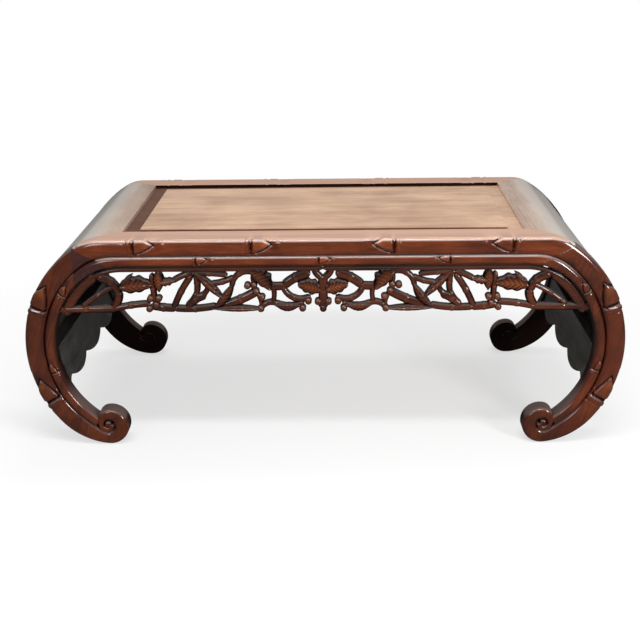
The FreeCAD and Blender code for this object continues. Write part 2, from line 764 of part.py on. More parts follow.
def apron_band_faces():
    """Border that follows the frame, and the wide wing beside the corner opening."""
    def outline(level, radius, bottom):
        centre, angle = shoulder(level, radius, inner_shoulder_radius - inner_radius + radius)
        low = math.degrees(math.asin((bottom - belly_height) / radius))
        foot = polar(curve_centre, radius, low)
        return Part.Face(Part.Wire([
            straight(Vector(0, 0, bottom), Vector(0, 0, level)),
            straight(Vector(0, 0, level), Vector(centre.x, 0, level)),
            arc_between(centre, inner_shoulder_radius - inner_radius + radius, 90, angle),
            arc_between(curve_centre, radius, angle, low),
            straight(foot, Vector(0, 0, bottom)),
        ]))
    whole = outline(apron_top, apron_radius, apron_bottom)
    inside = outline(apron_top - apron_band, apron_radius - apron_band, apron_bottom)
    wing = [arc_between(curve_centre, apron_radius, wing_start_angle, wing_end_angle),
            straight(polar(curve_centre, apron_radius, wing_end_angle),
                     polar(curve_centre, apron_radius - wing_border, wing_end_angle)),
            arc_between(curve_centre, apron_radius - wing_border, wing_end_angle, wing_start_angle),
            straight(polar(curve_centre, apron_radius - wing_border, wing_start_angle),
                     polar(curve_centre, apron_radius, wing_start_angle))]
    return whole, [whole.cut(inside), Part.Face(Part.Wire(wing))]


def apron_ear(slack):
    """Short tongue at the bottom corner of the apron, housed in the leg."""
    middle = apron_face_y + apron_thickness / 2
    half = apron_tongue_thickness / 2 + slack
    level = apron_bottom + apron_ear_height / 4
    return block(apron_half_length - apron_ear_length, apron_half_length + apron_ear_length + slack,
                 middle - half, middle + half, level - slack, level + apron_ear_height + slack)


def pierced_apron():
    """Front apron: carved openwork board, right half mirrored across the table."""
    whole, bands = apron_band_faces()
    stems = [stem_face(*entry) for entry in stem_shares]
    leaves = [leaf_face(*entry) for entry in leaf_shares]
    berries = [berry_face(share) for share in berry_shares]
    openings = whole.cut(bands + stems + leaves + berries).Faces
    sweep = Vector(0, apron_thickness + 2 * overrun, 0)
    board = whole.extrude(sweep)
    board = board.cut([face.extrude(sweep) for face in openings if face.Area > smallest_window])
    board = board.common(block(-overrun, length, overrun, overrun + apron_thickness, 0, length))
    outline = whole.extrude(sweep)
    for faces, proud in ((leaves, leaf_proud), (berries, berry_proud)):
        for face in faces:
            face.translate(Vector(0, overrun, 0))
            relief = face.extrude(Vector(0, apron_thickness / 2, 0))
            relief = relief.fuse(face.extrude(Vector(0, -proud, 0)))
            board = board.fuse(relief.common(outline))
    board.translate(Vector(0, apron_face_y - overrun, 0))
    half = board.fuse(mirror_x(board)).removeSplitter()
    middle = apron_face_y + apron_thickness / 2
    tongue = block(-apron_tongue_half_length, apron_tongue_half_length, middle - apron_tongue_thickness / 2,
                   middle + apron_tongue_thickness / 2, apron_top - apron_band / 2,
                   apron_top + apron_tongue_length)
    ear = apron_ear(0)
    return one_solid(half.fuse([tongue, ear, mirror_x(ear)]))


def write(name, shape):
    shape.exportStep(os.path.join("parts", name + ".step"))


os.makedirs("parts", exist_ok=True)
blank, shavings = front_blank()
front_rail = long_rail(blank)
write("front_rail", front_rail)
write("back_rail", mirror_y(front_rail))
right_end_rail = end_rail(shavings)
write("right_end_rail", right_end_rail)
write("left_end_rail", mirror_x(right_end_rail))
right_leg = leg(blank)
right_head = head_block(blank)
for piece, shape in (("leg", right_leg), ("head", right_head)):
    write("front_right_" + piece, shape)
    write("front_left_" + piece, mirror_x(shape))
    write("back_right_" + piece, mirror_y(shape))
    write("back_left_" + piece, mirror_x(mirror_y(shape)))
write("panel", floating_panel())
write("right_batten", batten(batten_x))
write("left_batten", batten(-batten_x))
right_end_panel = one_solid(end_panel(0))
write("right_end_panel", right_end_panel)
write("left_end_panel", mirror_x(right_end_panel))
right_end_apron = end_apron()
write("right_end_apron", right_end_apron)
write("left_end_apron", mirror_x(right_end_apron))
front_apron = pierced_apron()
write("front_apron", front_apron)
write("back_apron", mirror_y(front_apron))
dowels = [dowel(level, 0) for level in dowel_levels]
dowels += [mirror_x(pin) for pin in dowels]
dowels += [mirror_y(pin) for pin in dowels]
write("head_dowels", Part.makeCompound(dowels))
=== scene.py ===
import math

import bmesh
import bpy
from bpy.props import FloatProperty, FloatVectorProperty, PointerProperty
from bpy.types import Operator, Panel, PropertyGroup
from mathutils import Matrix, Vector


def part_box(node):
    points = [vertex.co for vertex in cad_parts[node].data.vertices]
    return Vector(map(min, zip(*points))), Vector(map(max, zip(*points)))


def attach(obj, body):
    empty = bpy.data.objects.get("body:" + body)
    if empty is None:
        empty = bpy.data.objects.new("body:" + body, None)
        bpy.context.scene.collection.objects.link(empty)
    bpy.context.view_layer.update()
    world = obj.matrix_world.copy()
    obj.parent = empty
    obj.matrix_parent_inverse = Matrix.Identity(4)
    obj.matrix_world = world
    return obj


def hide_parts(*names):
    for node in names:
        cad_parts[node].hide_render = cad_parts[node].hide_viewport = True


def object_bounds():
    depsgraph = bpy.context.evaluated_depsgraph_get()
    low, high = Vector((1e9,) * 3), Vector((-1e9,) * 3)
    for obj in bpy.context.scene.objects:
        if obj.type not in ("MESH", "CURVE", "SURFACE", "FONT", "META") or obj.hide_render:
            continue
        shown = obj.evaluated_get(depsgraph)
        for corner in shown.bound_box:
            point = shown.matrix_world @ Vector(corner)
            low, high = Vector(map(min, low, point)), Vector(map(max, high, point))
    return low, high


bl_info = {
    "name": "Kang table",
    "version": (1, 0, 0),
    "blender": (4, 5, 0),
    "location": "View3D > Sidebar > Kang table",
    "description": "Models and finishes a low table carved as bamboo",
    "category": "Add Mesh",
}

BODY = "root"

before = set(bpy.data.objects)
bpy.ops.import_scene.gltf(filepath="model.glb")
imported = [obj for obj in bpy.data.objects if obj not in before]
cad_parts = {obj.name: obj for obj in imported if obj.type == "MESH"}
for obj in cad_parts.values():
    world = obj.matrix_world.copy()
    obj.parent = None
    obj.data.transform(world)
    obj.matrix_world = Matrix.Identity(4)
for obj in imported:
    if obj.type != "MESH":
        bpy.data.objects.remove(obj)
box_low, box_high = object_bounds()
apron_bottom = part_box("front_apron")[0].z

WHITE = (1.0, 1.0, 1.0, 1.0)

# Scroll: where its winding starts and how far it goes, how fast the carving's place runs there,
# and where the stalk's outer edge passes from the rim to the last winding
ROLL_START = math.radians(-60.7)
ROLL_TURN = math.radians(480)
ROLL_RATE = 0.7
CLOSING_START = math.radians(215)
CLOSING_TURN = math.radians(100)

# One node on a stalk of the usual half width, in metres. Along runs from the ring towards the
# bud's tip. A pair holds where a form begins, or where it lies, and over how much it fades.
NODE_REACH = (-0.010, 0.044)
NODE_SPAN = (-0.012, 0.046)
RING_HALF = 0.0021
RING_SQUARE = 6
SWELL_HALF = 0.009
SWELL_SHARE = 0.35
NICK_DEPTH = 0.0008
NICK = (-0.0042, 0.0014)
BUD_TIP = (0.034, 0.0050)
BUD_ROOT = -0.0082
BUD_BELLY = 2.2
BUD_SLOPE = 0.80
MOUND_EDGE, MOUND_ROOT, MOUND_TIP = (-0.0004, 0.0060), (0.0030, 0.006), (-0.036, 0.010)
CUT_EDGE, CUT_ROOT, CUT_TIP = (-0.0009, 0.0014), (0.0030, 0.003), (-0.038, 0.003)
SCOOP_ALONG, SCOOP_SIDE, SCOOP_SQUASH, SCOOP_HALF, SCOOP_EDGE = 0.037, 0.004, 0.8, 0.009, (-0.001, 0.002)
HOLLOW, HOLLOW_SIDE = (0.0048, 0.0024), (-0.010, 0.004)
LEAFLET_SPAN, LEAFLET_LEAN, LEAFLET_HALF = (0.0025, 0.0105), (-0.0030, -0.0105), 0.0013
LEAFLET_ROOT, LEAFLET_TIP = (0.001, 0.002), (-0.0150, 0.002)
RUBBED_TIP = (0.016, 0.014)
# Height in metres of mound, cut, scoop, hollow and leaflet, and how worn each is; a negative wear paints shade
# into the cut, the scoop and the hollow
NODE_HEIGHTS = (0.0012, -0.0026, -0.0026, -0.0029, 0.0012)
NODE_WEAR_AND_SHADE = (0.1, -0.9, -0.15, -0.9, 0.4)
RUBBED_WEAR = 0.35
THIN_RELIEF = 0.25

# Wear of a stalk on its face, and painted shade: how fast it darkens down an open edge and into the groove, and
# how dark the back and the edge band of a board are
FACE_WEAR = 0.28
OPEN_EDGE_SHADE = 0.5
GROOVE_SHADE = 1.3
SHADE_POWER = 1.5
FULL_SHADE = -1.3
EDGE_WIDTH = 0.0012
EDGE_SHADE = -0.6

# Painted glare, standing in for light from above on faces that look up: how much of it under the top level,
# over how much height it grows, and by their lean
GLARE_UNDER = 0.18
GLARE_RISE = 0.003
GLARE_LEAN = (0.36, 0.30)
TOP_LEVEL = 0.331


# Sizes and colours that a user would change
def length(name, text, default):
    return FloatProperty(name=name, description=text, default=default, precision=4,
                         subtype="DISTANCE", unit="LENGTH")


def angle(name, text, degrees):
    return FloatProperty(name=name, description=text, default=math.radians(degrees),
                         subtype="ANGLE", unit="ROTATION")


def plain(name, text, default):
    return FloatProperty(name=name, description=text, default=default)


def colour(name, text, default):
    return FloatVectorProperty(name=name, description=text, default=default, size=3,
                               min=0.0, max=1.0, subtype="COLOR")


class FrameSizes(PropertyGroup):
    """Sizes of the top frame and the legs, as in the solids."""
    curve_radius: length("Curve radius", "Outside of the leg's main curve", 0.195)
    belly_height: length("Belly height", "Height of the middle of the leg's curve", 0.165)
    shoulder_radius: length("Shoulder radius", "Outside bend from the top into the leg", 0.060)
    leg_width: length("Leg width", "Both stalks of the leg, seen from the front", 0.046)
    leg_thickness: length("Leg thickness", "Thickness of the leg's plank", 0.031)
    inner_shoulder_radius: length("Inner shoulder", "Inside bend from the rail into the leg", 0.105)
    rail_height: length("Rail height", "Both stalks of the long rail", 0.042)
    rail_width: length("Rail width", "Depth of the long rail, front to back", 0.055)
    thin_on_leg: length("Thin stalk on the leg", "Width of the thin stalk", 0.015)
    thin_on_rail: length("Thin stalk on the rail", "Width of the thin stalk", 0.0148)
    groove_shoulder_radius: length("Groove shoulder", "Bend of the groove", 0.085)
    foot_turn: angle("Foot turn", "Where the leg's curve eases into the foot", 40.0)
    scroll_radius: length("Scroll radius", "Rim of the scroll foot", 0.030)
    scroll_x: length("Scroll place", "Middle of the scroll, from the middle of the table", 0.346)
    sole_planed: length("Sole planed", "How much the floor planes off the curve", 0.001)
    head_angle: angle("Head angle", "Where the head's joint meets the outer curve", 56.0)
    head_inset: length("Head inset", "Inner end of the head's joint, from the table's end", 0.140)
    opening_half_length: length("Half opening", "Half length of the frame's opening", 0.314)


class CarvingSizes(PropertyGroup):
    """Sizes of the bamboo carving on rails and legs."""
    thick_round: length("Thick stalk rounding", "Depth over which its face rounds off", 0.0085)
    thin_round: length("Thin stalk rounding", "Depth over which its face rounds off", 0.0062)
    ring_proud: length("Ring height", "How far a ring stands proud of its stalk", 0.0012)
    node_half_width: length("Node size", "Half width of the stalk that the bud is drawn for", 0.013)
    spiral_eye: length("Spiral start", "Radius of the groove where the scroll begins", 0.0126)
    spiral_pitch: length("Spiral pitch", "How much the groove closes in each turn", 0.0074)
    rail_node_near: length("Near node", "Thick node, from the middle of the table", 0.114)
    rail_node_far: length("Far node", "Thick node, from the middle of the table", 0.295)
    rail_thin_node: length("Thin node", "Thin node, from the middle of the table", 0.197)
    leg_node_high: angle("High leg node", "Thick node above the belly", 19.0)
    leg_node_low: angle("Low leg node", "Thick node below the belly", -31.0)
    leg_thin_high: angle("High thin node", "Thin node above the belly", 33.0)
    leg_thin_low: angle("Low thin node", "Thin node below the belly", -16.0)


class ApronSizes(PropertyGroup):
    """Sizes of the pierced apron."""
    reveal: length("Reveal", "Gap under the rail", 0.0055)
    stoutness: plain("Stoutness", "Width of the carved stems against the drawn ones", 1.3)
    gap: length("Leg gap", "Gap beside the leg", 0.0025)
    setback: length("Setback", "Front of the apron behind the front of the frame", 0.011)
    thickness: length("Thickness", "Thickness of the board", 0.011)
    band: length("Border", "Width of the border along the frame", 0.006)
    square: length("Carving square", "Square that the carving is laid out on", 0.010)
    berry: length("Berry", "Radius of a berry", 0.0055)
    run_on: length("Run on", "How far a stem runs into the next one", 0.0028)


class PanelSizes(PropertyGroup):
    """Sizes of the floating panel and the end boards."""
    sink: length("Sink", "Margin of the panel below the frame", 0.006)
    inset: length("Field inset", "Margin round the raised field", 0.024)
    rise: length("Field rise", "How far the field stands up", 0.0035)
    thickness: length("Thickness", "Thickness of the panel", 0.012)
    end_thickness: length("End rail", "Thickness of the end rails", 0.033)
    end_angle: angle("End rail angle", "Where the end rail stops on the curve", 47.0)
    lacquer_radius: length("Lacquer radius", "Where the lacquer of the ends' outside stops", 0.180)


class FinishColours(PropertyGroup):
    """Colours of the lacquered rosewood, with painted shade, painted glare and painted highlights among them.
    """
    # Painted shade in recesses, grooves, edges and the backs of boards, with the lacquer gathered there
    shade: colour("Shade", "Lacquer gathered in the recesses", (0.0035, 0.0018, 0.0014))
    dark: colour("Dark", "Dark streaks of the wood", (0.018, 0.0028, 0.0015))
    middle: colour("Middle", "Body of the wood", (0.070, 0.0095, 0.0022))
    light: colour("Light", "Light streaks of the wood", (0.190, 0.0340, 0.0060))
    # Worn high spots, also a painted highlight on crests and fronts
    worn: colour("Worn", "High spots where the finish has rubbed thin", (0.300, 0.0780, 0.0160))
    # Painted highlight: a pale line where a face turns up into the painted glare
    glint: colour("Glint", "Rubbed edges where a face turns up", (0.60, 0.50, 0.48))
    # Painted shade: the legs and the aprons are darker copies of the rails' wood
    leg_shade: plain("Leg shade", "How much darker the legs are than the rails", 0.72)
    apron_shade: plain("Apron shade", "How much darker the aprons are than the rails", 0.50)
    # Painted glare: the tone that stands in for light from above on faces that look up
    glare_tone: colour("Faded", "Wood bleached by light on faces that look up", (0.455, 0.284, 0.212))
    head_dark: colour("Head dark", "Darker wood of the left head block", (0.016, 0.0048, 0.0046))
    head_light: colour("Head light", "Streaks of the left head block", (0.050, 0.0135, 0.0110))
    # Painted shade on the sunk margin of the top
    top_shade: colour("Top shade", "Sunk margin of the top", (0.080, 0.034, 0.026))
    # Painted glare: the top's colours are the rosewood lightened for the light from above
    top_dark: colour("Top dark", "Dark streaks of the top", (0.40, 0.215, 0.130))
    top_middle: colour("Top middle", "Body of the top", (0.72, 0.450, 0.285))
    top_light: colour("Top light", "Light streaks of the top", (0.88, 0.590, 0.390))
    # Painted reflection: the outer curve of the end rails is lightened and greyed for the glare it catches
    end_rail_glare: colour("End rail pale", "Bleached outer curve of the end rails", (0.70, 0.640, 0.580))
    end_rail_tint: colour("End rail tint", "How the end rails differ from the panel", (0.70, 0.80, 0.95))
    end_dark: colour("End dark", "Dark streaks of the end boards", (0.008, 0.0072, 0.006))
    end_light: colour("End light", "Body of the end boards", (0.034, 0.032, 0.028))
    end_streak: colour("End streak", "Light streaks of the end boards", (0.085, 0.080, 0.072))


class StageSettings(PropertyGroup):
    """Camera, floor and light."""
    camera_x: length("Camera right", "Camera to the right of the middle", 0.0353)
    camera_y: length("Camera back", "Camera in front of the middle", -1.8856)
    camera_z: length("Camera height", "Camera above the floor", 0.7824)
    yaw: angle("Yaw", "Turn of the camera to the right", -1.391)
    pitch: angle("Pitch", "How far the camera looks down", 18.981)
    roll: angle("Roll", "Tilt of the camera", 0.805)
    focal: plain("Focal length", "Focal length in millimetres on a 36 mm sensor", 63.8)
    floor_size: length("Floor size", "Side of the square floor", 40.0)
    floor_colour: colour("Floor colour", "Colour of floor and backdrop", (0.92, 0.92, 0.92))


# Curves of the frame, seen from the front
def ray_reach(origin, direction, centre, radius):
    """How far along a ray the circle is left."""
    offset = centre - origin
    along = offset.dot(direction)
    return along + math.sqrt(radius ** 2 - offset.length_squared + along ** 2)


def heading(turn):
    return Vector((math.cos(turn), 0.0, math.sin(turn)))


def ease(value):
    """Smooth step from 0 to 1."""
    value = min(max(value, 0.0), 1.0)
    return value * value * (3.0 - 2.0 * value)


def bell(value):
    return math.exp(-value * value)


def rise(value, start, run):
    """Smooth step that begins at the start and takes the run."""
    return ease((value - start) / run)


def ridge(value, place, half):
    """Bell that is highest at the place."""
    return bell((value - place) / half)


def blend(a, b, share):
    return a + (b - a) * share


class BendingLine:
    """Level along the rail, then a shoulder, then a circle about the middle of the leg."""

    def __init__(self, centre, level, radius, shoulder):
        self.centre = centre
        self.level = level
        self.radius = radius
        self.shoulder = shoulder
        rise = level - shoulder - centre.z
        run = math.sqrt((radius - shoulder) ** 2 - rise ** 2)
        self.bend = Vector((centre.x + run, 0.0, level - shoulder))
        self.start = math.atan2(level - centre.z, run)
        self.end = math.atan2(rise, run)

    def reach(self, turn):
        if turn >= self.start:
            return (self.level - self.centre.z) / math.sin(turn)
        if turn > self.end:
            return ray_reach(self.centre, heading(turn), self.bend, self.shoulder)
        return self.radius

    def at(self, turn):
        return self.centre + heading(turn) * self.reach(turn)


class FrontCurves:
    """Outer edge, groove and inner edge of the front, from the middle of the rail to the scroll."""

    def __init__(self, sizes, carving):
        centre = Vector((box_high.x - sizes.curve_radius, 0.0, sizes.belly_height))
        inner = sizes.curve_radius - sizes.leg_width
        groove = inner + sizes.thin_on_leg
        under = box_high.z - sizes.rail_height
        self.centre = centre
        self.carving = carving
        self.groove_radius = groove
        self.outer = BendingLine(centre, box_high.z, sizes.curve_radius, sizes.shoulder_radius)
        self.groove = BendingLine(centre, under + sizes.thin_on_rail, groove, sizes.groove_shoulder_radius)
        self.inner = BendingLine(centre, under, inner, sizes.inner_shoulder_radius)
        sine = math.sin(sizes.foot_turn)
        self.foot_turn = -sizes.foot_turn
        self.foot_radius = (centre.z + sizes.sole_planed - sizes.curve_radius * sine) / (1 - sine)
        self.foot = centre + heading(self.foot_turn) * (sizes.curve_radius - self.foot_radius)
        run = sizes.scroll_x - self.foot.x
        drop = math.sqrt((self.foot_radius - sizes.scroll_radius) ** 2 - run ** 2)
        self.scroll = Vector((sizes.scroll_x, 0.0, self.foot.z - drop))
        self.scroll_radius = sizes.scroll_radius
        self.eye = centre + heading(ROLL_START) * (groove - carving.spiral_eye)
        self.roll_rate = sizes.scroll_radius * ROLL_RATE
        self.leg_end = self.place_of(ROLL_START)
        self.thick_end = self.leg_end + ROLL_TURN * self.roll_rate
        touch = self.foot + (self.scroll - self.foot).normalized() * self.foot_radius
        self.touch_turn = math.atan2(touch.z - self.eye.z, touch.x - self.eye.x)

    def place_of(self, turn):
        """Place along the stalks for a direction from the middle of the leg."""
        return self.centre.x + (math.pi / 2 - turn) * self.groove_radius

    def outer_at(self, turn):
        if turn > self.foot_turn:
            return self.outer.at(turn)
        reach = ray_reach(self.centre, heading(turn), self.foot, self.foot_radius)
        return self.centre + heading(turn) * reach

    def spiral(self, turn):
        """Reach of the spiral groove from the eye."""
        wound = (ROLL_START - turn) / (2 * math.pi)
        return max(self.carving.spiral_eye - self.carving.spiral_pitch * wound, 0.0)

    def rim(self, turn):
        """Reach of the scroll's rim from the eye."""
        circle = (self.foot, self.foot_radius) if turn > self.touch_turn else (self.scroll, self.scroll_radius)
        return ray_reach(self.eye, heading(turn), *circle)

    def section(self, place, thick):
        """Inner and outer point of a stalk at a place along it; the left half mirrors the right."""
        side = -1.0 if place < 0 else 1.0
        place = abs(place)
        if place <= self.centre.x:
            inner = Vector((place, 0.0, self.groove.level if thick else self.inner.level))
            outer = Vector((place, 0.0, self.outer.level if thick else self.groove.level))
        elif place <= self.leg_end or not thick:
            turn = math.pi / 2 - (place - self.centre.x) / self.groove_radius
            inner = self.groove.at(turn) if thick else self.inner.at(turn)
            outer = self.outer_at(turn) if thick else self.groove.at(turn)
        else:
            turn = ROLL_START - (place - self.leg_end) / self.roll_rate
            inner = self.eye + heading(turn) * self.spiral(turn)
            wound = ROLL_START - turn
            closing = rise(wound, CLOSING_START, CLOSING_TURN)
            reach = self.rim(turn) if wound < 2 * math.pi else self.spiral(turn + 2 * math.pi)
            inside = self.spiral(min(turn + 2 * math.pi, ROLL_START + 1.0))
            outer = self.eye + heading(turn) * blend(reach, inside, closing)
        inner.x *= side
        outer.x *= side
        return inner, outer


# Carving in relief
class Node:
    """Ring with a bud: its place, which way the bud points, and the half width of its stalk."""

    def __init__(self, place, pointing, half):
        self.place = place
        self.pointing = pointing
        self.half = half

    def reach(self, unit):
        """First and last place that the node changes."""
        scale = self.half / unit
        return sorted(self.place + self.pointing * end * scale for end in NODE_REACH)

    def relief(self, place, across, sizes):
        """Height above the stalk, and how worn the spot is or how much shade is painted into it; across runs
        from the inner to the outer edge.
        """
        scale = self.half / sizes.node_half_width
        along = (place - self.place) * self.pointing / scale
        side = across / scale
        if not NODE_SPAN[0] < along < NODE_SPAN[1]:
            return 0.0, 0.0
        ring = 1.0 / (1.0 + (along / RING_HALF) ** RING_SQUARE)
        swell = bell(along / SWELL_HALF) * SWELL_SHARE
        height = sizes.ring_proud * (ring + swell) - NICK_DEPTH * ridge(along, *NICK)
        edge = self.bud_edge(along, side)
        mound = rise(edge, *MOUND_EDGE) * rise(along, *MOUND_ROOT) * rise(-along, *MOUND_TIP)
        cut = ridge(edge, *CUT_EDGE) * rise(along, *CUT_ROOT) * rise(-along, *CUT_TIP)
        scoop = bell(math.hypot(along - SCOOP_ALONG, (side - SCOOP_SIDE) * SCOOP_SQUASH) / SCOOP_HALF)
        scoop *= 1.0 - rise(edge, *SCOOP_EDGE)
        hollow = ridge(along, *HOLLOW) * rise(side, *HOLLOW_SIDE)
        forms = (mound, cut, scoop, hollow, self.leaflet(along, side))
        height += sum(form * tall for form, tall in zip(forms, NODE_HEIGHTS))
        worn = sum(form * wear_and_shade for form, wear_and_shade in zip(forms, NODE_WEAR_AND_SHADE))
        worn += RUBBED_WEAR * mound * rise(along, *RUBBED_TIP)
        return height * min(scale + THIN_RELIEF, 1.0), worn

    def bud_edge(self, along, side):
        """How far inside the outline of the bud a spot lies."""
        tip_along, tip_side = BUD_TIP
        if along > tip_along:
            return -math.hypot(along - tip_along, side - tip_side)
        share = max(along / tip_along, 0.0)
        low = blend(BUD_ROOT, tip_side, share ** BUD_BELLY)
        high = tip_side + (tip_along - along) * BUD_SLOPE
        return min(side - low, high - side)

    def leaflet(self, along, side):
        """Small leaf under the bud: a slanting ridge."""
        start, run = LEAFLET_SPAN
        share = min(max((along - start) / run, 0.0), 1.0)
        inside = rise(along, *LEAFLET_ROOT) * rise(-along, *LEAFLET_TIP)
        return ridge(side, blend(*LEAFLET_LEAN, share), LEAFLET_HALF) * inside


def rounding(share, power):
    """Reach from -1 to 1 and depth from 0 to 1 of a rounded section, at a share of the way across it."""
    lean = share * math.pi / 2
    reach = math.copysign(abs(math.sin(lean)) ** (2.0 / power), lean)
    return reach, 1.0 - abs(math.cos(lean)) ** (2.0 / power)


def even_steps(start, stop, step):
    count = max(int(math.ceil((stop - start) / step)), 1)
    return [blend(start, stop, index / count) for index in range(count + 1)]


def stations(start, stop, nodes, unit, coarse, fine):
    """Places along a stalk, closer together where its nodes are."""
    spans = sorted(node.reach(unit) for node in nodes)
    places = [start]
    here = start
    for low, high in spans:
        low = max(low, here)
        high = min(high, stop)
        if high <= low:
            continue
        if low > here:
            places += even_steps(here, low, coarse)[1:]
        places += even_steps(low, high, fine)[1:]
        here = high
    if stop > here:
        places += even_steps(here, stop, coarse)[1:]
    return places


def in_order(items):
    """The items without repeats, in the order in which they come, so that each run is the same."""
    return list(dict.fromkeys(items))


def mapped_grid(bm, columns, rows, place):
    """Grid whose points are put in place by column and row number."""
    made = bmesh.ops.create_grid(bm, x_segments=columns, y_segments=rows, size=0.5)
    for vert in made["verts"]:
        column = round((vert.co.x + 0.5) * columns)
        row = round((vert.co.y + 0.5) * rows)
        place(vert, column, row)
    return in_order(face for vert in made["verts"] for face in vert.link_faces)


def points_of(made):
    return [item for item in made["geom"] if isinstance(item, bmesh.types.BMVert)]


def push_back(bm, faces, depth, back_shade=FULL_SHADE):
    """Closes a carved front into a board: copies go back to two planes, the edge and the back, both darkened by
    painted shade.
    """
    wear_and_shade = bm.verts.layers.float["wear_and_shade"]
    for place, worn in ((depth - EDGE_WIDTH, max(back_shade, EDGE_SHADE)), (depth, back_shade)):
        made = bmesh.ops.extrude_face_region(bm, geom=faces, use_keep_orig=True)
        between = faces
        faces = [item for item in made["geom"] if isinstance(item, bmesh.types.BMFace)]
        for vert in points_of(made):
            vert.co.y = place
            vert[wear_and_shade] = worn
    bmesh.ops.delete(bm, geom=between, context="FACES")


class Stalk:
    """One bamboo stalk of the frame, as a carved front pushed back into a plank."""
    edge_fade = 0.12
    groove_lean = 0.2
    round_limit = 0.42

    def __init__(self, curves, carving, thick):
        self.curves = curves
        self.carving = carving
        self.thick = thick
        self.round = carving.thick_round if thick else carving.thin_round
        self.power = 2.5 if thick else 2.1
        self.rows = 34 if thick else 20
        self.face = box_low.y + carving.ring_proud

    def point(self, wear_and_shade, vert, place, share, nodes):
        """Puts one point of the front: share runs from -1 at the inner edge to 1 at the outer."""
        inner, outer = self.curves.section(place, self.thick)
        across = outer - inner
        width = across.length
        across = across / width if width > 1e-6 else Vector((0.0, 0.0, 1.0))
        reach, depth = rounding(share, self.power)
        height = 0.0
        open_edge = (share > 0) == self.thick
        # Painted shade darkens the face down its open edge and into the groove
        worn = FACE_WEAR - (OPEN_EDGE_SHADE if open_edge else GROOVE_SHADE) * depth ** SHADE_POWER
        for node in nodes:
            lift, rub = node.relief(place, reach * width / 2, self.carving)
            height += lift
            worn += rub
        height = min(height, self.carving.ring_proud)
        if open_edge:
            height *= ease((1.0 - abs(share)) / self.edge_fade)
        side = math.copysign(abs(reach) ** (self.power - 1.0), reach)
        front = abs(1.0 - depth) ** (self.power - 1.0)
        size = math.hypot(side, front)
        side /= size
        front /= size
        if (share < 0) == self.thick:
            side *= self.groove_lean
        sunk = min(self.round, width * self.round_limit) * depth
        vert.co = (inner + outer) / 2 + across * (reach * width / 2 + height * side)
        vert.co.y = self.face + sunk - height * front
        vert.co.z = min(max(vert.co.z, box_low.z), box_high.z)
        vert[wear_and_shade] = worn

    def add(self, bm, start, stop, nodes, back, coarse=0.005, fine=0.0009, back_shade=FULL_SHADE):
        places = stations(start, stop, nodes, self.carving.node_half_width, coarse, fine)
        wear_and_shade = bm.verts.layers.float["wear_and_shade"]

        def place(vert, column, row):
            share = 2.0 * row / self.rows - 1.0
            self.point(wear_and_shade, vert, places[column], share, nodes)
        faces = mapped_grid(bm, len(places) - 1, self.rows, place)
        push_back(bm, faces, back, back_shade)


def new_bmesh():
    bm = bmesh.new()
    bm.verts.layers.float.new("wear_and_shade")
    bm.verts.layers.float.new("glare")
    return bm


def trim(bm, point, normal, chosen=None):
    """Cuts away what lies on the normal's side of a plane and closes the cut."""
    faces = [face for face in bm.faces if chosen is None or chosen(face.calc_center_median())]
    geometry = in_order(item for face in faces for item in (face, *face.verts, *face.edges))
    cut = bmesh.ops.bisect_plane(bm, geom=geometry, dist=1e-6, plane_co=point, plane_no=normal,
                                 clear_outer=True)
    edges = [item for item in cut["geom_cut"] if isinstance(item, bmesh.types.BMEdge) and item.is_boundary]
    bmesh.ops.holes_fill(bm, edges=edges, sides=0)


def shells(bm):
    """The points of each connected shell."""
    found = []
    seen = set()
    for first in bm.verts:
        if first in seen:
            continue
        seen.add(first)
        shell = [first]
        for vert in shell:
            for edge in vert.link_edges:
                other = edge.other_vert(vert)
                if other not in seen:
                    seen.add(other)
                    shell.append(other)
        found.append(shell)
    return found


def finish_piece(bm, name, nodes, material, mirror=(1, 1), smooth=35.0, glare=0.0,
                 level=TOP_LEVEL):
    """Writes a bmesh to a named piece that rides on the table and stands for its solids."""
    if not bm.faces:
        raise RuntimeError(name + " has no faces")
    scale = Matrix.Diagonal((mirror[0], mirror[1], 1.0, 1.0))
    bmesh.ops.transform(bm, matrix=scale, verts=bm.verts)
    for shell in shells(bm):
        bmesh.ops.remove_doubles(bm, verts=shell, dist=2e-6)
    bmesh.ops.recalc_face_normals(bm, faces=bm.faces)
    # Paints glare on faces that look up, less of it under the level
    if glare:
        glared = bm.verts.layers.float["glare"]
        for vert in bm.verts:
            high = blend(GLARE_UNDER, 1.0, rise(vert.co.z, level, GLARE_RISE))
            vert[glared] = glare * high * rise(vert.normal.z, *GLARE_LEAN)
    mesh = bpy.data.meshes.new(name)
    bm.to_mesh(mesh)
    bm.free()
    mesh.shade_smooth()
    mesh.set_sharp_from_angle(angle=math.radians(smooth))
    mesh.materials.append(material)
    piece = bpy.data.objects.new(name, mesh)
    bpy.context.scene.collection.objects.link(piece)
    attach(piece, BODY)
    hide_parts(*nodes)
    return piece


# Shader maths
class Socket:
    """Output socket on which Python sums add Math nodes."""

    def __init__(self, graph, output):
        self.graph = graph
        self.output = output

    def maths(self, operation, first, second):
        return self.graph.add("ShaderNodeMath", {"operation": operation}, {0: first, 1: second})

    def __add__(self, other):
        return self.maths("ADD", self, other)

    __radd__ = __add__

    def __mul__(self, other):
        return self.maths("MULTIPLY", self, other)

    def __sub__(self, other):
        return self.maths("SUBTRACT", self, other)

    def __rsub__(self, other):
        return self.maths("SUBTRACT", other, self)

    def __pow__(self, other):
        return self.maths("POWER", self, other)

    def clamped(self):
        return self.graph.add("ShaderNodeClamp", {}, {"Value": self})

    def step(self, low, high):
        """Smooth step between two values."""
        return self.graph.add("ShaderNodeMapRange", {"interpolation_type": "SMOOTHSTEP"},
                              {"Value": self, "From Min": low, "From Max": high})


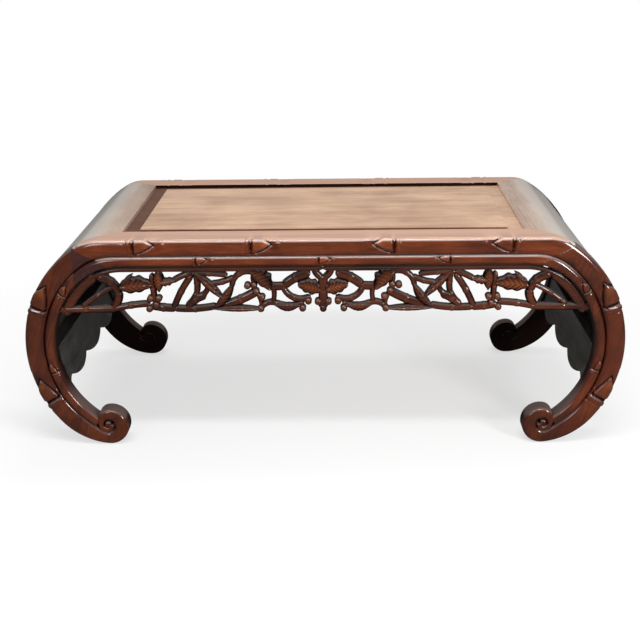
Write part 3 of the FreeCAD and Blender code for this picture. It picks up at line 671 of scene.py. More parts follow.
class Graph:
    """Node tree of a material or of the world."""

    def __init__(self, owner):
        owner.use_nodes = True
        self.owner = owner
        self.tree = owner.node_tree
        self.tree.nodes.clear()

    def add(self, kind, settings, inputs, output=0):
        """Adds a node: settings first, then the values or links of its sockets."""
        node = self.tree.nodes.new(kind)
        for key, value in settings.items():
            setattr(node, key, value)
        for key, value in inputs.items():
            socket = node.inputs[key]
            if isinstance(value, Socket):
                self.tree.links.new(value.output, socket)
            else:
                socket.default_value = value
        return Socket(self, node.outputs[output])

    def mix(self, share, first, second):
        """Mixes two colours."""
        return self.add("ShaderNodeMix", {"data_type": "RGBA"}, {0: share, 6: first, 7: second}, 2)

    def mix_shader(self, share, first, second):
        return self.add("ShaderNodeMixShader", {}, {0: share, 1: first, 2: second})

    def noise(self, vector, scale, detail=3.0, rough=0.5):
        return self.add("ShaderNodeTexNoise", {"noise_dimensions": "3D"},
                        {"Vector": vector, "Scale": scale, "Detail": detail, "Roughness": rough})

    def mapping(self, vector, **inputs):
        return self.add("ShaderNodeMapping", {"vector_type": "POINT"}, {"Vector": vector, **inputs})

    def place(self):
        return self.add("ShaderNodeTexCoord", {}, {}, "Object")

    def layer(self, name):
        return self.add("ShaderNodeAttribute", {"attribute_name": name}, {}, "Fac")

    def ray(self, kind):
        return self.add("ShaderNodeLightPath", {}, {}, kind)

    def light(self, kind, strength):
        """White emission or white background."""
        return self.add(kind, {}, {"Color": WHITE, "Strength": strength})

    def surface(self, shader, kind="ShaderNodeOutputMaterial"):
        out = self.tree.nodes.new(kind)
        self.tree.links.new(shader.output, out.inputs["Surface"])
        return self.owner


def opaque(rgb, level=1.0):
    return (rgb[0] * level, rgb[1] * level, rgb[2] * level, 1.0)


# Grain: scale of the noise along and across it, and the edges that sharpen it
BAND_SCALE, BAND_EDGES = Vector((3.0, 42.0, 42.0)), (0.34, 0.68)
LINE_SCALE, LINE_EDGES = (16.0, 420.0, 420.0), (0.34, 0.70)
PORE_SCALE, PORE_EDGES = (90.0, 1500.0, 1500.0), (0.60, 0.72)
CLOUD_SCALE, CLOUD_EDGES = 11.0, (0.35, 0.68)
DRIFT_SCALE, DRIFT = 5.0, (0.0, 0.03, 0.03)

# Wear between these edges shows rubbed wood, partly a painted highlight, and its negative shows painted shade
# in recesses, grooves and backs, with the lacquer gathered there
RUB_EDGES = (0.05, 0.95)
SHADE_EDGES = (-0.10, 0.65)
SHADE_TINT = 0.95
DEEP_ROUGHNESS = 0.15
DEEP_COAT = 1.4
GLINT_STRENGTH = 2.2

# Lacquer: the wood under it reflects little, the coat most
WOOD_IOR = 1.15
COAT_IOR = 1.5
COAT_ROUGHNESS = 0.10
BUMP_STRENGTH = 0.10
BUMP_HEIGHT = 0.0004
BOUNDARY = 0.0004


def wood(name, turn, dark, middle, light, shade=None, worn=None, glare_tone=None, glint=None, gloss=0.30,
         coat=1.0, streak=1.0, figure=1.0, outside=None):
    """Lacquered wood. The grain runs along X turned by the given angles; wear, painted shade and painted glare
    come from the carving.
    """
    graph = Graph(bpy.data.materials.new(name))
    place = graph.place()
    grain = graph.mapping(place, Rotation=turn)
    drift = graph.noise(grain, DRIFT_SCALE, 2.0)
    swerve = graph.add("ShaderNodeCombineXYZ", {}, {"X": drift, "Y": drift, "Z": drift})
    bent = graph.add("ShaderNodeVectorMath", {"operation": "MULTIPLY_ADD"}, {0: swerve, 1: DRIFT, 2: grain})
    bands = graph.noise(graph.mapping(bent, Scale=BAND_SCALE * figure), 1.0, 4.0, 0.55).step(*BAND_EDGES)
    lines = graph.noise(graph.mapping(bent, Scale=LINE_SCALE), 1.0, 3.0, 0.6).step(*LINE_EDGES)
    dots = graph.noise(graph.mapping(bent, Scale=PORE_SCALE), 1.0, 1.0).step(*PORE_EDGES)
    cloud = graph.noise(place, CLOUD_SCALE).step(*CLOUD_EDGES)
    body = 0.12 + bands * 0.50 + lines * (0.26 * streak) + cloud * 0.3
    tone = graph.mix(body.clamped(), opaque(dark), opaque(middle))
    tone = graph.mix((bands * 0.25 + cloud * lines * 0.6).clamped(), tone, opaque(light))
    tone = graph.mix((dots * (0.35 * streak)).clamped(), tone, opaque(dark))
    rough = gloss + lines * 0.06 + cloud * 0.05
    clear = coat
    if shade is not None:
        # Worn colour, partly a painted highlight, where the attribute is positive; painted shade where it is
        # negative
        wear_and_shade = graph.layer("wear_and_shade")
        rub = (wear_and_shade.step(*RUB_EDGES) * (0.35 + cloud * 0.75)).clamped()
        tone = graph.mix(rub, tone, opaque(worn))
        deep = (0.0 - wear_and_shade).step(*SHADE_EDGES)
        tone = graph.mix((deep * SHADE_TINT).clamped(), tone, opaque(shade))
        rough = rough + deep * DEEP_ROUGHNESS
        clear = (coat - deep * DEEP_COAT).clamped()
    if glare_tone is not None:
        # Painted glare from above on faces that look up
        glared = graph.layer("glare")
        pale = (0.45 + bands * 0.4 + lines * 0.25).clamped()
        tone = graph.mix(glared, tone, graph.mix(pale, opaque(glare_tone, 0.80), opaque(glare_tone, 1.12)))
        # Painted highlight along the edge of the painted glare
        tone = graph.mix((glared * (1.0 - glared) * GLINT_STRENGTH).clamped(), tone, opaque(glint))
    if outside is not None:
        centre, radius, far_dark, far_light = outside
        across, up = [graph.add("ShaderNodeSeparateXYZ", {}, {"Vector": place}, axis) for axis in ("X", "Z")]
        across = across.maths("ABSOLUTE", across, 0.0) - centre.x
        up = up - centre.z
        away = (across * across + up * up) ** 0.5
        far = graph.mix(bands * 0.4 + lines * 0.4 + cloud * 0.2, opaque(far_dark), opaque(far_light))
        tone = graph.mix(away.step(radius - BOUNDARY, radius + BOUNDARY), tone, far)
    relief = graph.add("ShaderNodeBump", {}, {"Strength": BUMP_STRENGTH, "Distance": BUMP_HEIGHT,
                                              "Height": lines * 0.5 + dots * -0.8 + bands * 0.3})
    shader = graph.add("ShaderNodeBsdfPrincipled", {},
                       {"Base Color": tone, "Roughness": rough, "Normal": relief, "IOR": WOOD_IOR,
                        "Coat Weight": clear, "Coat Roughness": COAT_ROUGHNESS, "Coat IOR": COAT_IOR})
    return graph.surface(shader)


def grain_turn(degrees):
    """Turn that lays the grain in the front view at an angle from level."""
    return (0.0, math.radians(degrees), 0.0)


def tool():
    """The settings of the scene and the curves of its frame, by short names."""
    scene = bpy.context.scene
    curves = FrontCurves(scene.kang_frame, scene.kang_carving)
    return scene.kang_frame, scene.kang_carving, scene.kang_finish, curves


def carved_wood(name, degrees, finish, level=1.0):
    """The rosewood of the carved pieces, darkened to a level of painted shade."""
    dark, middle, light, worn = [[part * level for part in tone]
                                 for tone in (finish.dark, finish.middle, finish.light, finish.worn)]
    return wood(name, grain_turn(degrees), dark, middle, light, shade=finish.shade, worn=worn,
                glare_tone=finish.glare_tone, glint=finish.glint)


SIDES = (("front", 1), ("back", -1))
ENDS = (("right", 1), ("left", -1))
CORNERS = [(side + "_" + end, (mirror_x, mirror_y)) for side, mirror_y in SIDES for end, mirror_x in ENDS]

# Where stalks begin and end before they are trimmed, as angles on the leg
LEG_START = math.radians(66)
THIN_LEG_END = math.radians(-55)
HEAD_START = math.radians(78)
HEAD_END = math.radians(40)
RAIL_OVERRUN = 0.01
MIDDLE_NODE = -0.0085

# Angles of the grain from level in the front view, in degrees
LEG_GRAIN = 72
HEAD_GRAIN = 28
LEFT_HEAD_GRAIN = 38
APRON_GRAIN = 8


def mitre_plane(sizes, curves):
    """Point and outward normal of the upright mitre at the right front corner, and the head's outer end."""
    outer = curves.outer.at(sizes.head_angle)
    corner = Vector((sizes.opening_half_length, box_low.y + sizes.rail_width, 0.0))
    run = Vector((outer.x, box_low.y, 0.0)) - corner
    return corner, Vector((-run.y, run.x, 0.0)).normalized(), outer


def head_normal(sizes, outer):
    """Upward normal of the joint between rail and head block."""
    inner = Vector((box_high.x - sizes.head_inset, 0.0, box_high.z - sizes.rail_height))
    return Vector((inner.z - outer.z, 0.0, outer.x - inner.x)).normalized()


class KANG_OT_long_rails(Operator):
    """Models the two long rails, carved as a thick and a thin stalk"""
    bl_idname = "kang.long_rails"
    bl_label = "Long rails"

    def execute(self, context):
        sizes, carving, finish, curves = tool()
        corner, away, outer = mitre_plane(sizes, curves)
        under = head_normal(sizes, outer) * -1.0
        thick_half = (curves.outer.level - curves.groove.level) / 2
        thin_half = (curves.groove.level - curves.inner.level) / 2
        thick_nodes = []
        thin_nodes = [Node(MIDDLE_NODE, 1, thin_half)]
        for side in (1, -1):
            thick_nodes += [Node(side * place, -side, thick_half)
                            for place in (carving.rail_node_near, carving.rail_node_far)]
            thin_nodes.append(Node(side * carving.rail_thin_node, -side, thin_half))
        material = carved_wood("rail_wood", 0, finish)
        reach = curves.place_of(sizes.head_angle) + RAIL_OVERRUN
        for side, mirror in SIDES:
            bm = new_bmesh()
            for thick, nodes in ((True, thick_nodes), (False, thin_nodes)):
                # The rails' back wall gets lighter painted shade than the other backs
                Stalk(curves, carving, thick).add(bm, -reach, reach, nodes, box_low.y + sizes.rail_width,
                                                  back_shade=-0.55)
            for end in (1, -1):
                flip = Vector((end, 1, 1))
                trim(bm, corner * flip, away * flip)
                trim(bm, outer * flip, under * flip)
            finish_piece(bm, side + "_rail_carved", [side + "_rail"], material, (1, mirror),
                         glare=1.0)
        return {"FINISHED"}


class KANG_OT_legs(Operator):
    """Models the four legs with their scroll feet"""
    bl_idname = "kang.legs"
    bl_label = "Legs"
    eye_share = 0.42
    eye_depth = 0.5
    eye_proud = 0.001
    eye_back = 1.7
    eye_shade = -0.1

    def execute(self, context):
        sizes, carving, finish, curves = tool()
        head = curves.outer.at(sizes.head_angle)
        thick_half = (sizes.leg_width - sizes.thin_on_leg) / 2
        thick_nodes = [Node(curves.place_of(turn), -1, thick_half)
                       for turn in (carving.leg_node_high, carving.leg_node_low)]
        thin_nodes = [Node(curves.place_of(turn), -1, sizes.thin_on_leg / 2)
                      for turn in (carving.leg_thin_high, carving.leg_thin_low)]
        start = curves.place_of(LEG_START)
        back = box_low.y + sizes.leg_thickness
        material = carved_wood("leg_wood", LEG_GRAIN, finish, finish.leg_shade)
        for name, mirror in CORNERS:
            bm = new_bmesh()
            for thick, stop, nodes in ((True, curves.thick_end, thick_nodes),
                                       (False, curves.place_of(THIN_LEG_END), thin_nodes)):
                Stalk(curves, carving, thick).add(bm, start, stop, nodes, back, 0.004)
            trim(bm, head, Vector((-1, 0, 0)), lambda place: place.z > sizes.belly_height)
            self.eye(bm, curves, carving, back)
            finish_piece(bm, name + "_leg_carved", [name + "_leg"], material, mirror, glare=0.3)
        return {"FINISHED"}

    def eye(self, bm, curves, carving, back):
        """Button in the middle of the scroll."""
        radius = carving.spiral_eye * self.eye_share
        wear_and_shade = bm.verts.layers.float["wear_and_shade"]
        made = bmesh.ops.create_uvsphere(bm, u_segments=20, v_segments=12, radius=radius)
        front = box_low.y + carving.ring_proud + self.eye_proud
        for vert in made["verts"]:
            deep = vert.co.y
            behind = deep > 1e-5
            # Painted shade: darkest on the back of the button, a little on its front
            vert[wear_and_shade] = FULL_SHADE if behind else self.eye_shade
            if behind:
                vert.co *= self.eye_back
            vert.co += curves.eye
            vert.co.y = back + 0.0002 if behind else front + (radius + deep) * self.eye_depth


class KANG_OT_heads(Operator):
    """Models the four head blocks between rail and leg"""
    bl_idname = "kang.heads"
    bl_label = "Head blocks"

    def execute(self, context):
        sizes, carving, finish, curves = tool()
        outer = curves.outer.at(sizes.head_angle)
        above = head_normal(sizes, outer)
        back = box_low.y + sizes.leg_thickness
        usual = carved_wood("head_wood", HEAD_GRAIN, finish, finish.leg_shade)
        other = wood("head_wood_left", grain_turn(LEFT_HEAD_GRAIN), finish.head_dark, finish.head_light,
                     finish.head_light, shade=finish.shade, worn=finish.head_light, streak=1.6)
        for name, mirror in CORNERS:
            bm = new_bmesh()
            for thick in (True, False):
                Stalk(curves, carving, thick).add(bm, curves.place_of(HEAD_START), curves.place_of(HEAD_END),
                                                  [], back, 0.003)
            trim(bm, outer, above)
            trim(bm, outer, Vector((1, 0, 0)))
            material = other if name == "front_left" else usual
            finish_piece(bm, name + "_head_carved", [name + "_head"], material, mirror, glare=0.6)
        return {"FINISHED"}


class KANG_OT_end_rails(Operator):
    """Models the wide end rails that turn the top down into the ends"""
    bl_idname = "kang.end_rails"
    bl_label = "End rails"
    columns = 40
    rows = 12
    glare_start = 0.15
    glare_run = 0.75

    def execute(self, context):
        sizes, carving, finish, curves = tool()
        panel = context.scene.kang_panel
        dark, middle, light = [Vector(tone) * Vector(finish.end_rail_tint)
                               for tone in (finish.top_dark, finish.top_middle, finish.top_light)]
        material = wood("end_rail_wood", (0.0, 0.0, math.radians(90)), dark, middle, light,
                        glare_tone=finish.end_rail_glare, glint=finish.end_rail_glare, figure=0.8)
        corner, away, outer = mitre_plane(sizes, curves)
        half = -(box_low.y + carving.ring_proud + carving.thick_round)
        centre = curves.centre
        begin = math.atan2(box_high.z - centre.z, sizes.opening_half_length - centre.x)
        for end, mirror in ENDS:
            bm = new_bmesh()
            glare = bm.verts.layers.float["glare"]

            def place(vert, column, row):
                share = column / self.columns
                vert.co = curves.outer.at(blend(begin, panel.end_angle, share))
                vert.co.y = blend(-half, half, row / self.rows)
                # Painted glare that grows down the outer curve
                vert[glare] = rise(share, self.glare_start, self.glare_run)
            faces = mapped_grid(bm, self.columns, self.rows, place)
            made = bmesh.ops.extrude_face_region(bm, geom=faces, use_keep_orig=True)
            for vert in points_of(made):
                self.go_inside(vert, centre, sizes, panel, begin)
            for flip in (1, -1):
                turned = Vector((1, flip, 1))
                trim(bm, corner * turned, away * turned * -1.0)
            self.notch(bm, outer.x, -(box_low.y + sizes.leg_thickness))
            finish_piece(bm, end + "_end_rail_board", [end + "_end_rail"], material, (mirror, 1))
        return {"FINISHED"}

    def go_inside(self, vert, centre, sizes, panel, begin):
        """Moves a point of the outside to the inside: a level underside, then a circle."""
        under = box_high.z - panel.end_thickness
        offset = vert.co - centre
        turn = math.atan2(offset.z, offset.x)
        reach = min((under - centre.z) / math.sin(turn), sizes.curve_radius - panel.end_thickness)
        deep = centre + heading(turn) * reach
        at_opening = turn > begin - 1e-5
        vert.co.x = sizes.opening_half_length if at_opening else deep.x
        vert.co.z = under if at_opening else deep.z

    def notch(self, bm, x, y):
        """Takes the corners off where the legs pass the board."""
        for point, normal in (((x, 0, 0), (1, 0, 0)), ((0, y, 0), (0, 1, 0)), ((0, -y, 0), (0, 1, 0))):
            bmesh.ops.bisect_plane(bm, geom=list(bm.verts) + list(bm.edges) + list(bm.faces), dist=1e-6,
                                   plane_co=point, plane_no=normal)
        gone = []
        for face in bm.faces:
            middle = face.calc_center_median()
            if middle.x > x + 1e-5 and abs(middle.y) > y + 1e-5:
                gone.append(face)
        bmesh.ops.delete(bm, geom=gone, context="FACES")
        bmesh.ops.holes_fill(bm, edges=[edge for edge in bm.edges if edge.is_boundary], sides=0)


class KANG_OT_panel(Operator):
    """Models the floating panel with its raised field"""
    bl_idname = "kang.panel"
    bl_label = "Floating panel"
    overlap = 0.001
    wall_top = 0.0003
    left_margin_shade = -0.57
    right_margin_shade = -0.02

    def execute(self, context):
        sizes, carving, finish, curves = tool()
        panel = context.scene.kang_panel
        material = wood("panel_wood", (0.0, 0.0, 0.0), finish.top_dark, finish.top_middle, finish.top_light,
                        shade=finish.top_shade, worn=finish.top_light, figure=0.55)
        margin = box_high.z - panel.sink
        field = margin + panel.rise
        half = Vector((sizes.opening_half_length, -(box_low.y + sizes.rail_width), 0.0))
        bm = new_bmesh()
        self.slab(bm, half.x, half.y, margin - panel.thickness, margin)
        wear_and_shade = bm.verts.layers.float["wear_and_shade"]
        # Painted shade on the sunk margin: dark on the left half, hardly any on the right
        for vert in bm.verts:
            vert[wear_and_shade] = self.left_margin_shade if vert.co.x < 0 else self.right_margin_shade
        self.slab(bm, half.x - panel.inset, half.y - panel.inset, margin - self.overlap, field)
        # Painted shade on the sides of the raised field, darkest at their foot
        for vert in bm.verts:
            if abs(vert.co.x) < half.x - panel.inset / 2 and vert.co.z < field - self.wall_top:
                vert[wear_and_shade] = FULL_SHADE
        finish_piece(bm, "panel_board", ["panel"], material)
        return {"FINISHED"}

    def slab(self, bm, x, y, low, high):
        """Board of half length x and half width y."""
        for vert in bmesh.ops.create_cube(bm, size=1.0)["verts"]:
            vert.co = Vector((2 * x * vert.co.x, 2 * y * vert.co.y, high if vert.co.z > 0 else low))


class KANG_OT_end_boards(Operator):
    """Puts the end boards' wood on the curved end panels, the scalloped boards under them, the battens and the
    head dowels
    """
    bl_idname = "kang.end_boards"
    bl_label = "End boards"

    def execute(self, context):
        sizes, carving, finish, curves = tool()
        material = wood("end_board_wood", (0.0, 0.0, math.radians(90)), finish.end_dark, finish.end_light,
                        finish.end_streak, gloss=0.45, coat=0.25, streak=1.6,
                        outside=(curves.centre, context.scene.kang_panel.lacquer_radius, finish.dark,
                                 finish.light))
        for node in ("right_end_panel", "left_end_panel", "right_end_apron", "left_end_apron",
                     "right_batten", "left_batten", "head_dowels"):
            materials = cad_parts[node].data.materials
            materials.clear()
            materials.append(material)
        return {"FINISHED"}


# Pierced apron, in squares: counted along from the middle of the table and up from its bottom
STEM_SHARES = [
    (1.05, (34.8, 5.70), (32.9, 4.90), (31.9, 3.25)),
    (1.05, (31.9, 3.25), (32.0, 2.10), (32.7, 0.95)),
    (0.60, (32.3, 4.35), (35.0, 2.90), (37.5, 1.05)),
    (0.85, (41.5, 0.50), (36.9, 0.60), (32.6, 0.60)),
    (0.75, (32.6, 0.65), (30.4, 1.10), (27.3, 1.40)),
    (0.90, (26.7, 1.05), (24.9, 0.75), (23.1, 0.65)),
    (0.80, (23.1, 0.65), (20.2, 0.55), (16.8, 0.95)),
    (0.80, (23.3, 0.75), (22.2, 3.15), (20.5, 5.75)),
    (0.70, (20.6, 6.35), (21.9, 5.85), (23.2, 5.15)),
    (0.75, (19.7, 6.25), (19.5, 4.80), (19.6, 3.25)),
    (0.65, (17.9, 4.15), (18.4, 3.05), (19.6, 2.65)),
    (0.90, (18.4, 2.65), (19.8, 2.05), (21.1, 0.95)),
    (0.75, (19.7, 3.05), (20.1, 2.25), (21.2, 1.05)),
    (0.60, (20.2, 6.35), (17.7, 6.25), (15.0, 6.00)),
    (0.65, (14.0, 5.55), (15.4, 4.95), (17.2, 4.65)),
    (0.70, (10.6, 6.35), (13.0, 6.15), (14.1, 4.25)),
    (1.05, (10.4, 3.25), (12.5, 2.15), (15.4, 1.05)),
    (0.60, (7.8, 4.05), (7.6, 3.05), (7.8, 1.65)),
    (0.70, (9.8, 0.35), (8.9, 1.35), (7.3, 1.40)),
    (0.70, (7.3, 1.40), (5.3, 0.95), (3.2, 1.40)),
    (0.95, (8.1, 4.15), (7.0, 4.10), (6.0, 4.20)),
    (1.10, (6.0, 4.25), (4.5, 5.35), (2.2, 6.15)),
    (0.70, (6.1, 3.85), (5.1, 2.55), (2.2, 2.35)),
    (0.80, (0.3, 0.85), (0.2, 3.35), (0.3, 5.75)),
    (0.80, (0.3, 5.55), (0.9, 6.05), (1.3, 6.85)),
    (0.70, (26.5, 6.05), (26.4, 4.05), (26.3, 1.85)),
    (0.50, (10.9, 4.05), (9.9, 2.45), (9.6, 0.65)),
    (0.50, (10.9, 5.75), (10.8, 4.85), (10.5, 4.05)),
]

LEAF_SHARES = [
    ((31.6, 4.15), (26.5, 4.55), 0.21, 0.32),
    ((31.2, 4.65), (29.5, 6.25), 0.15, 0.15),
    ((25.5, 7.05), (25.4, 3.45), 0.26, 0.24),
    ((25.3, 4.95), (22.9, 5.30), 0.31, 0.20),
    ((19.9, 6.65), (15.4, 2.15), 0.10, 0.10),
    ((17.1, 0.55), (13.8, 4.75), 0.20, 0.06),
    ((17.3, 0.65), (9.3, 0.55), 0.06, 0.06),
    ((11.1, 6.55), (8.1, 3.65), 0.17, 0.45),
    ((7.6, 1.25), (3.5, 1.15), 0.26, 0.05),
    ((0.4, 3.55), (3.9, 4.55), 0.36, 0.30),
]

BERRY_SHARES = [
    (25.6, 2.30), (26.9, 2.30), (26.0, 1.25), (27.1, 0.65),
    (10.7, 4.35), (11.7, 4.30), (10.4, 3.35), (9.5, 2.40), (9.7, 0.55),
    (0.0, 0.55), (0.8, 1.65), (2.3, 1.75), (3.2, 0.60),
]


def arc_points(start, middle, end, count):
    """Points along the arc through three places of the front view."""
    a = middle - start
    b = end - start
    cross = a.x * b.z - a.z * b.x
    if abs(cross) < 1e-9:
        return [start.lerp(end, index / count) for index in range(count + 1)]
    centre = Vector((start.x + (b.z * a.length_squared - a.z * b.length_squared) / (2 * cross), 0.0,
                     start.z + (a.x * b.length_squared - b.x * a.length_squared) / (2 * cross)))
    radius = (start - centre).length
    first = math.atan2(start.z - centre.z, start.x - centre.x)
    last = math.atan2(end.z - centre.z, end.x - centre.x)
    half = math.atan2(middle.z - centre.z, middle.x - centre.x)
    turn = (last - first) % (2 * math.pi)
    if (half - first) % (2 * math.pi) > turn:
        turn -= 2 * math.pi
    return [centre + heading(first + turn * index / count) * radius for index in range(count + 1)]


class Carver:
    """Adds the elements of the openwork to one mesh."""
    stem_step = 0.0021
    stem_rows = 10
    stem_depth = 0.0042
    stem_wear_and_shade = (0.34, -2.7, 0.45)
    ring_half = 0.0016
    ring_swell = 0.13
    ring_proud = 0.0009
    cap_depth = 0.002
    cap_least = 0.04
    leaf_columns = 28
    leaf_rows = 20
    leaf_proud = 0.0012
    leaf_rise = 0.0012
    leaf_least = 0.0008
    leaf_wear_and_shade = (0.66, 0.40, -1.8, -0.5, -0.6)
    full_leaf = 0.5
    full_belly = (0.8, 0.55)
    slim_belly = (1.0, 0.85)
    scallop = (0.96, 0.10, 20.0)
    rib_turns = 6.5
    rib_slant = 1.6
    rib_height = 0.00045
    midrib_half = 0.10
    midrib_height = 0.0007
    rim = (0.72, 0.28)
    rim_drop = 0.0026
    berry_wear_and_shade = (1.1, -0.45)
    berry_squash = 0.85
    berry_sunk = 0.0018
    border_step = 0.006
    border_turn = 0.02
    border_form = {"deep": 0.003, "power": 3.0}
    closing_lap = 0.0010
    closing_overrun = 0.03
    closing_extra = 0.006
    closing_form = {"deep": 0.0005, "power": 4.0, "proud": -0.0045}
    wing_width = 0.016
    wing_inset = 0.008
    wing_span = (math.radians(22), math.radians(56))
    wing_form = {"deep": 0.004, "power": 3.0, "proud": -0.0005}

    def __init__(self, bm, curves, frame_sizes, sizes):
        self.bm = bm
        self.sizes = sizes
        self.shoulder = frame_sizes.inner_shoulder_radius - sizes.gap
        self.wear_and_shade = bm.verts.layers.float["wear_and_shade"]
        self.curves = curves
        self.front = box_low.y + self.sizes.setback
        self.back = self.front + self.sizes.thickness
        self.top = self.curves.inner.level - self.sizes.reveal
        self.bottom = apron_bottom

    def at(self, share):
        return Vector((share[0] * self.sizes.square, 0.0, self.bottom + share[1] * self.sizes.square))

    def strip(self, points, width, proud=0.0, deep=stem_depth, power=2.2, ringed=False):
        """Rounded stem along a line of points."""
        count = len(points) - 1
        total = sum((b - a).length for a, b in zip(points, points[1:]))

        def place(vert, column, row):
            ahead = points[min(column + 1, count)] - points[max(column - 1, 0)]
            side = Vector((-ahead.z, 0.0, ahead.x)).normalized()
            reach, depth = rounding(2.0 * row / self.stem_rows - 1.0, power)
            along = total * column / count
            lift = ridge(along, total / 2, self.ring_half) if ringed else 0.0
            from_end = min(along, total - along) / (width * 0.5)
            cap = 1.0
            if from_end < 1.0:
                cap = math.sqrt(max(1.0 - (1.0 - from_end) ** 2, self.cap_least))
            vert.co = points[column] + side * (reach * width / 2 * cap * (1.0 + self.ring_swell * lift))
            sunk = deep * depth - self.ring_proud * lift + self.cap_depth * (1.0 - cap)
            vert.co.y = self.front - proud + sunk
            # Painted shade darkens the stem towards its edges; its face and ring take the worn colour
            face, fall, ring = self.stem_wear_and_shade
            vert[self.wear_and_shade] = face + fall * depth + ring * lift
        push_back(self.bm, mapped_grid(self.bm, count, self.stem_rows, place), self.back)

    def stem(self, width, *shares):
        start, middle, end = [self.at(share) for share in shares]
        reach = (start - middle).length + (middle - end).length
        points = arc_points(start, middle, end, max(int(reach / self.stem_step), 6))
        points = [self.beyond(points[0], points[1])] + points + [self.beyond(points[-1], points[-2])]
        self.strip(points, width * self.sizes.square * self.sizes.stoutness, ringed=reach > 0.03)

    def beyond(self, end, inside):
        """A point past the end of a stem, so that stems run into each other, kept inside the outline."""
        point = end + (end - inside).normalized() * self.sizes.run_on
        point.z = min(max(point.z, self.bottom + self.sizes.run_on), self.top)
        return point

    def leaf(self, base_share, tip_share, left, right):
        """Pointed leaf with a midrib, side ribs and cupped edges; a full one is broad and scalloped."""
        base = self.at(base_share)
        run = self.at(tip_share) - base
        reach = run.length
        side = Vector((-run.z, 0.0, run.x)).normalized()
        full = left + right > self.full_leaf
        swing, fall = self.full_belly if full else self.slim_belly

        def place(vert, column, row):
            along = column / self.leaf_columns
            share = 2.0 * row / self.leaf_rows - 1.0
            belly = math.sin(math.pi * along ** swing) ** fall
            edge = (left if share > 0 else right) * reach * belly
            if full:
                edge *= self.scallop[0] + self.scallop[1] * math.cos(along * self.scallop[2])
            edge = max(edge, self.leaf_least)
            rib = math.cos((along * self.rib_turns - abs(share) * self.rib_slant) * 2 * math.pi)
            middle = bell(share / self.midrib_half)
            rim = rise(abs(share), *self.rim)
            lift = self.leaf_rise * (1.0 - share ** 2) + self.rib_height * rib * (1.0 - middle) * belly
            lift += self.midrib_height * middle - self.rim_drop * rim ** 2
            vert.co = base + run * along + side * (share * edge)
            vert.co.y = self.front - self.leaf_proud - lift
            # Painted shade darkens the leaf towards its edges, rim and ends; its middle and ribs take the worn
            # colour
            forms = (1.0, rib * belly, share ** 2, rim, 1.0 - belly)
            vert[self.wear_and_shade] = sum(form * wear_and_shade for form, wear_and_shade in zip(forms, self.leaf_wear_and_shade))
        push_back(self.bm, mapped_grid(self.bm, self.leaf_columns, self.leaf_rows, place), self.back)

    def berry(self, share):
        """Round berry, flat at the back."""
        middle = self.at(share)
        radius = self.sizes.berry
        made = bmesh.ops.create_uvsphere(self.bm, u_segments=16, v_segments=10, radius=radius)
        turned = Matrix.Rotation(math.pi / 2, 3, "X")
        for vert in made["verts"]:
            place = turned @ vert.co
            ahead = -place.y / radius
            # Painted shade darkens the berry towards its edges; its front takes the worn colour
            vert[self.wear_and_shade] = self.berry_wear_and_shade[0] * ahead + self.berry_wear_and_shade[1]
            y = self.front + self.berry_sunk + place.y * self.berry_squash if ahead > 0 else self.back
            vert.co = Vector((middle.x + place.x, y, middle.z + place.z))

    def border(self):
        """Border along the frame, the strip that closes the gap over it, and the wing by the corner opening."""
        radius = self.curves.inner.radius - self.sizes.gap
        half = self.sizes.band / 2
        line = BendingLine(self.curves.centre, self.top - half, radius - half, self.shoulder - half)
        low = math.asin((self.bottom - self.curves.centre.z) / radius)
        points = [Vector((x, 0.0, line.level)) for x in even_steps(0.0, line.bend.x, self.border_step)[:-1]]
        points += [line.at(-turn) for turn in even_steps(-line.start, -low, self.border_turn)]
        self.strip(points, self.sizes.band, **self.border_form)
        points = [Vector((x, 0.0, self.top + self.closing_lap))
                  for x in even_steps(0.0, line.bend.x + self.closing_overrun, self.border_step)]
        self.strip(points, self.sizes.reveal + self.closing_extra, **self.closing_form)
        points = [self.curves.centre + heading(turn) * (radius - self.wing_inset)
                  for turn in even_steps(*self.wing_span, self.border_turn)]
        self.strip(points, self.wing_width, **self.wing_form)


class KANG_OT_aprons(Operator):
    """Models the two pierced aprons of stems, leaves and berries"""
    bl_idname = "kang.aprons"
    bl_label = "Pierced aprons"

    def execute(self, context):
        sizes, carving, finish, curves = tool()
        material = carved_wood("apron_wood", APRON_GRAIN, finish, finish.apron_shade)
        for side, mirror in SIDES:
            bm = new_bmesh()
            carver = Carver(bm, curves, sizes, context.scene.kang_apron)
            carver.border()
            for entry in STEM_SHARES:
                carver.stem(*entry)
            for entry in LEAF_SHARES:
                carver.leaf(*entry)
            for share in BERRY_SHARES:
                carver.berry(share)
            copy = bmesh.ops.duplicate(bm, geom=list(bm.verts) + list(bm.edges) + list(bm.faces))
            bmesh.ops.scale(bm, vec=(-1, 1, 1), verts=points_of(copy))
            finish_piece(bm, side + "_apron_carved", [side + "_apron"], material, (1, mirror),
                         50.0, glare=0.25, level=0.4)
        return {"FINISHED"}


# Name, place, size and watts of each lamp; all look at one spot
LAMPS = (
    ("overhead_box", (-0.1, -0.85, 1.85), (1.7, 0.24), 20.0),
    ("back_box", (0.2, 0.5, 1.9), (1.6, 0.24), 9.0),
    ("low_left_box", (-0.9, -1.9, 0.9), (0.35, 0.5), 4.5),
    ("low_right_box", (1.3, -1.5, 0.8), (0.35, 0.5), 20.0),
)
LAMP_AIM = Vector((0.0, 0.0, 0.2))

# Light of the world and of the floor: as a lamp, and as seen in a reflection
WORLD_LIGHT = 0.42
WORLD_REFLECTED = 0.24
FLOOR_REFLECTED = 0.06
FLOOR_REFLECTED_SHARE = 0.85

# The floor is paper that turns white to the camera from near the table outwards
FLOOR_TOOTH = (0.86, 0.86, 0.86, 1.0)
FLOOR_NEAR = 0.60
FLOOR_CLEARING = (0.35, 1.1)


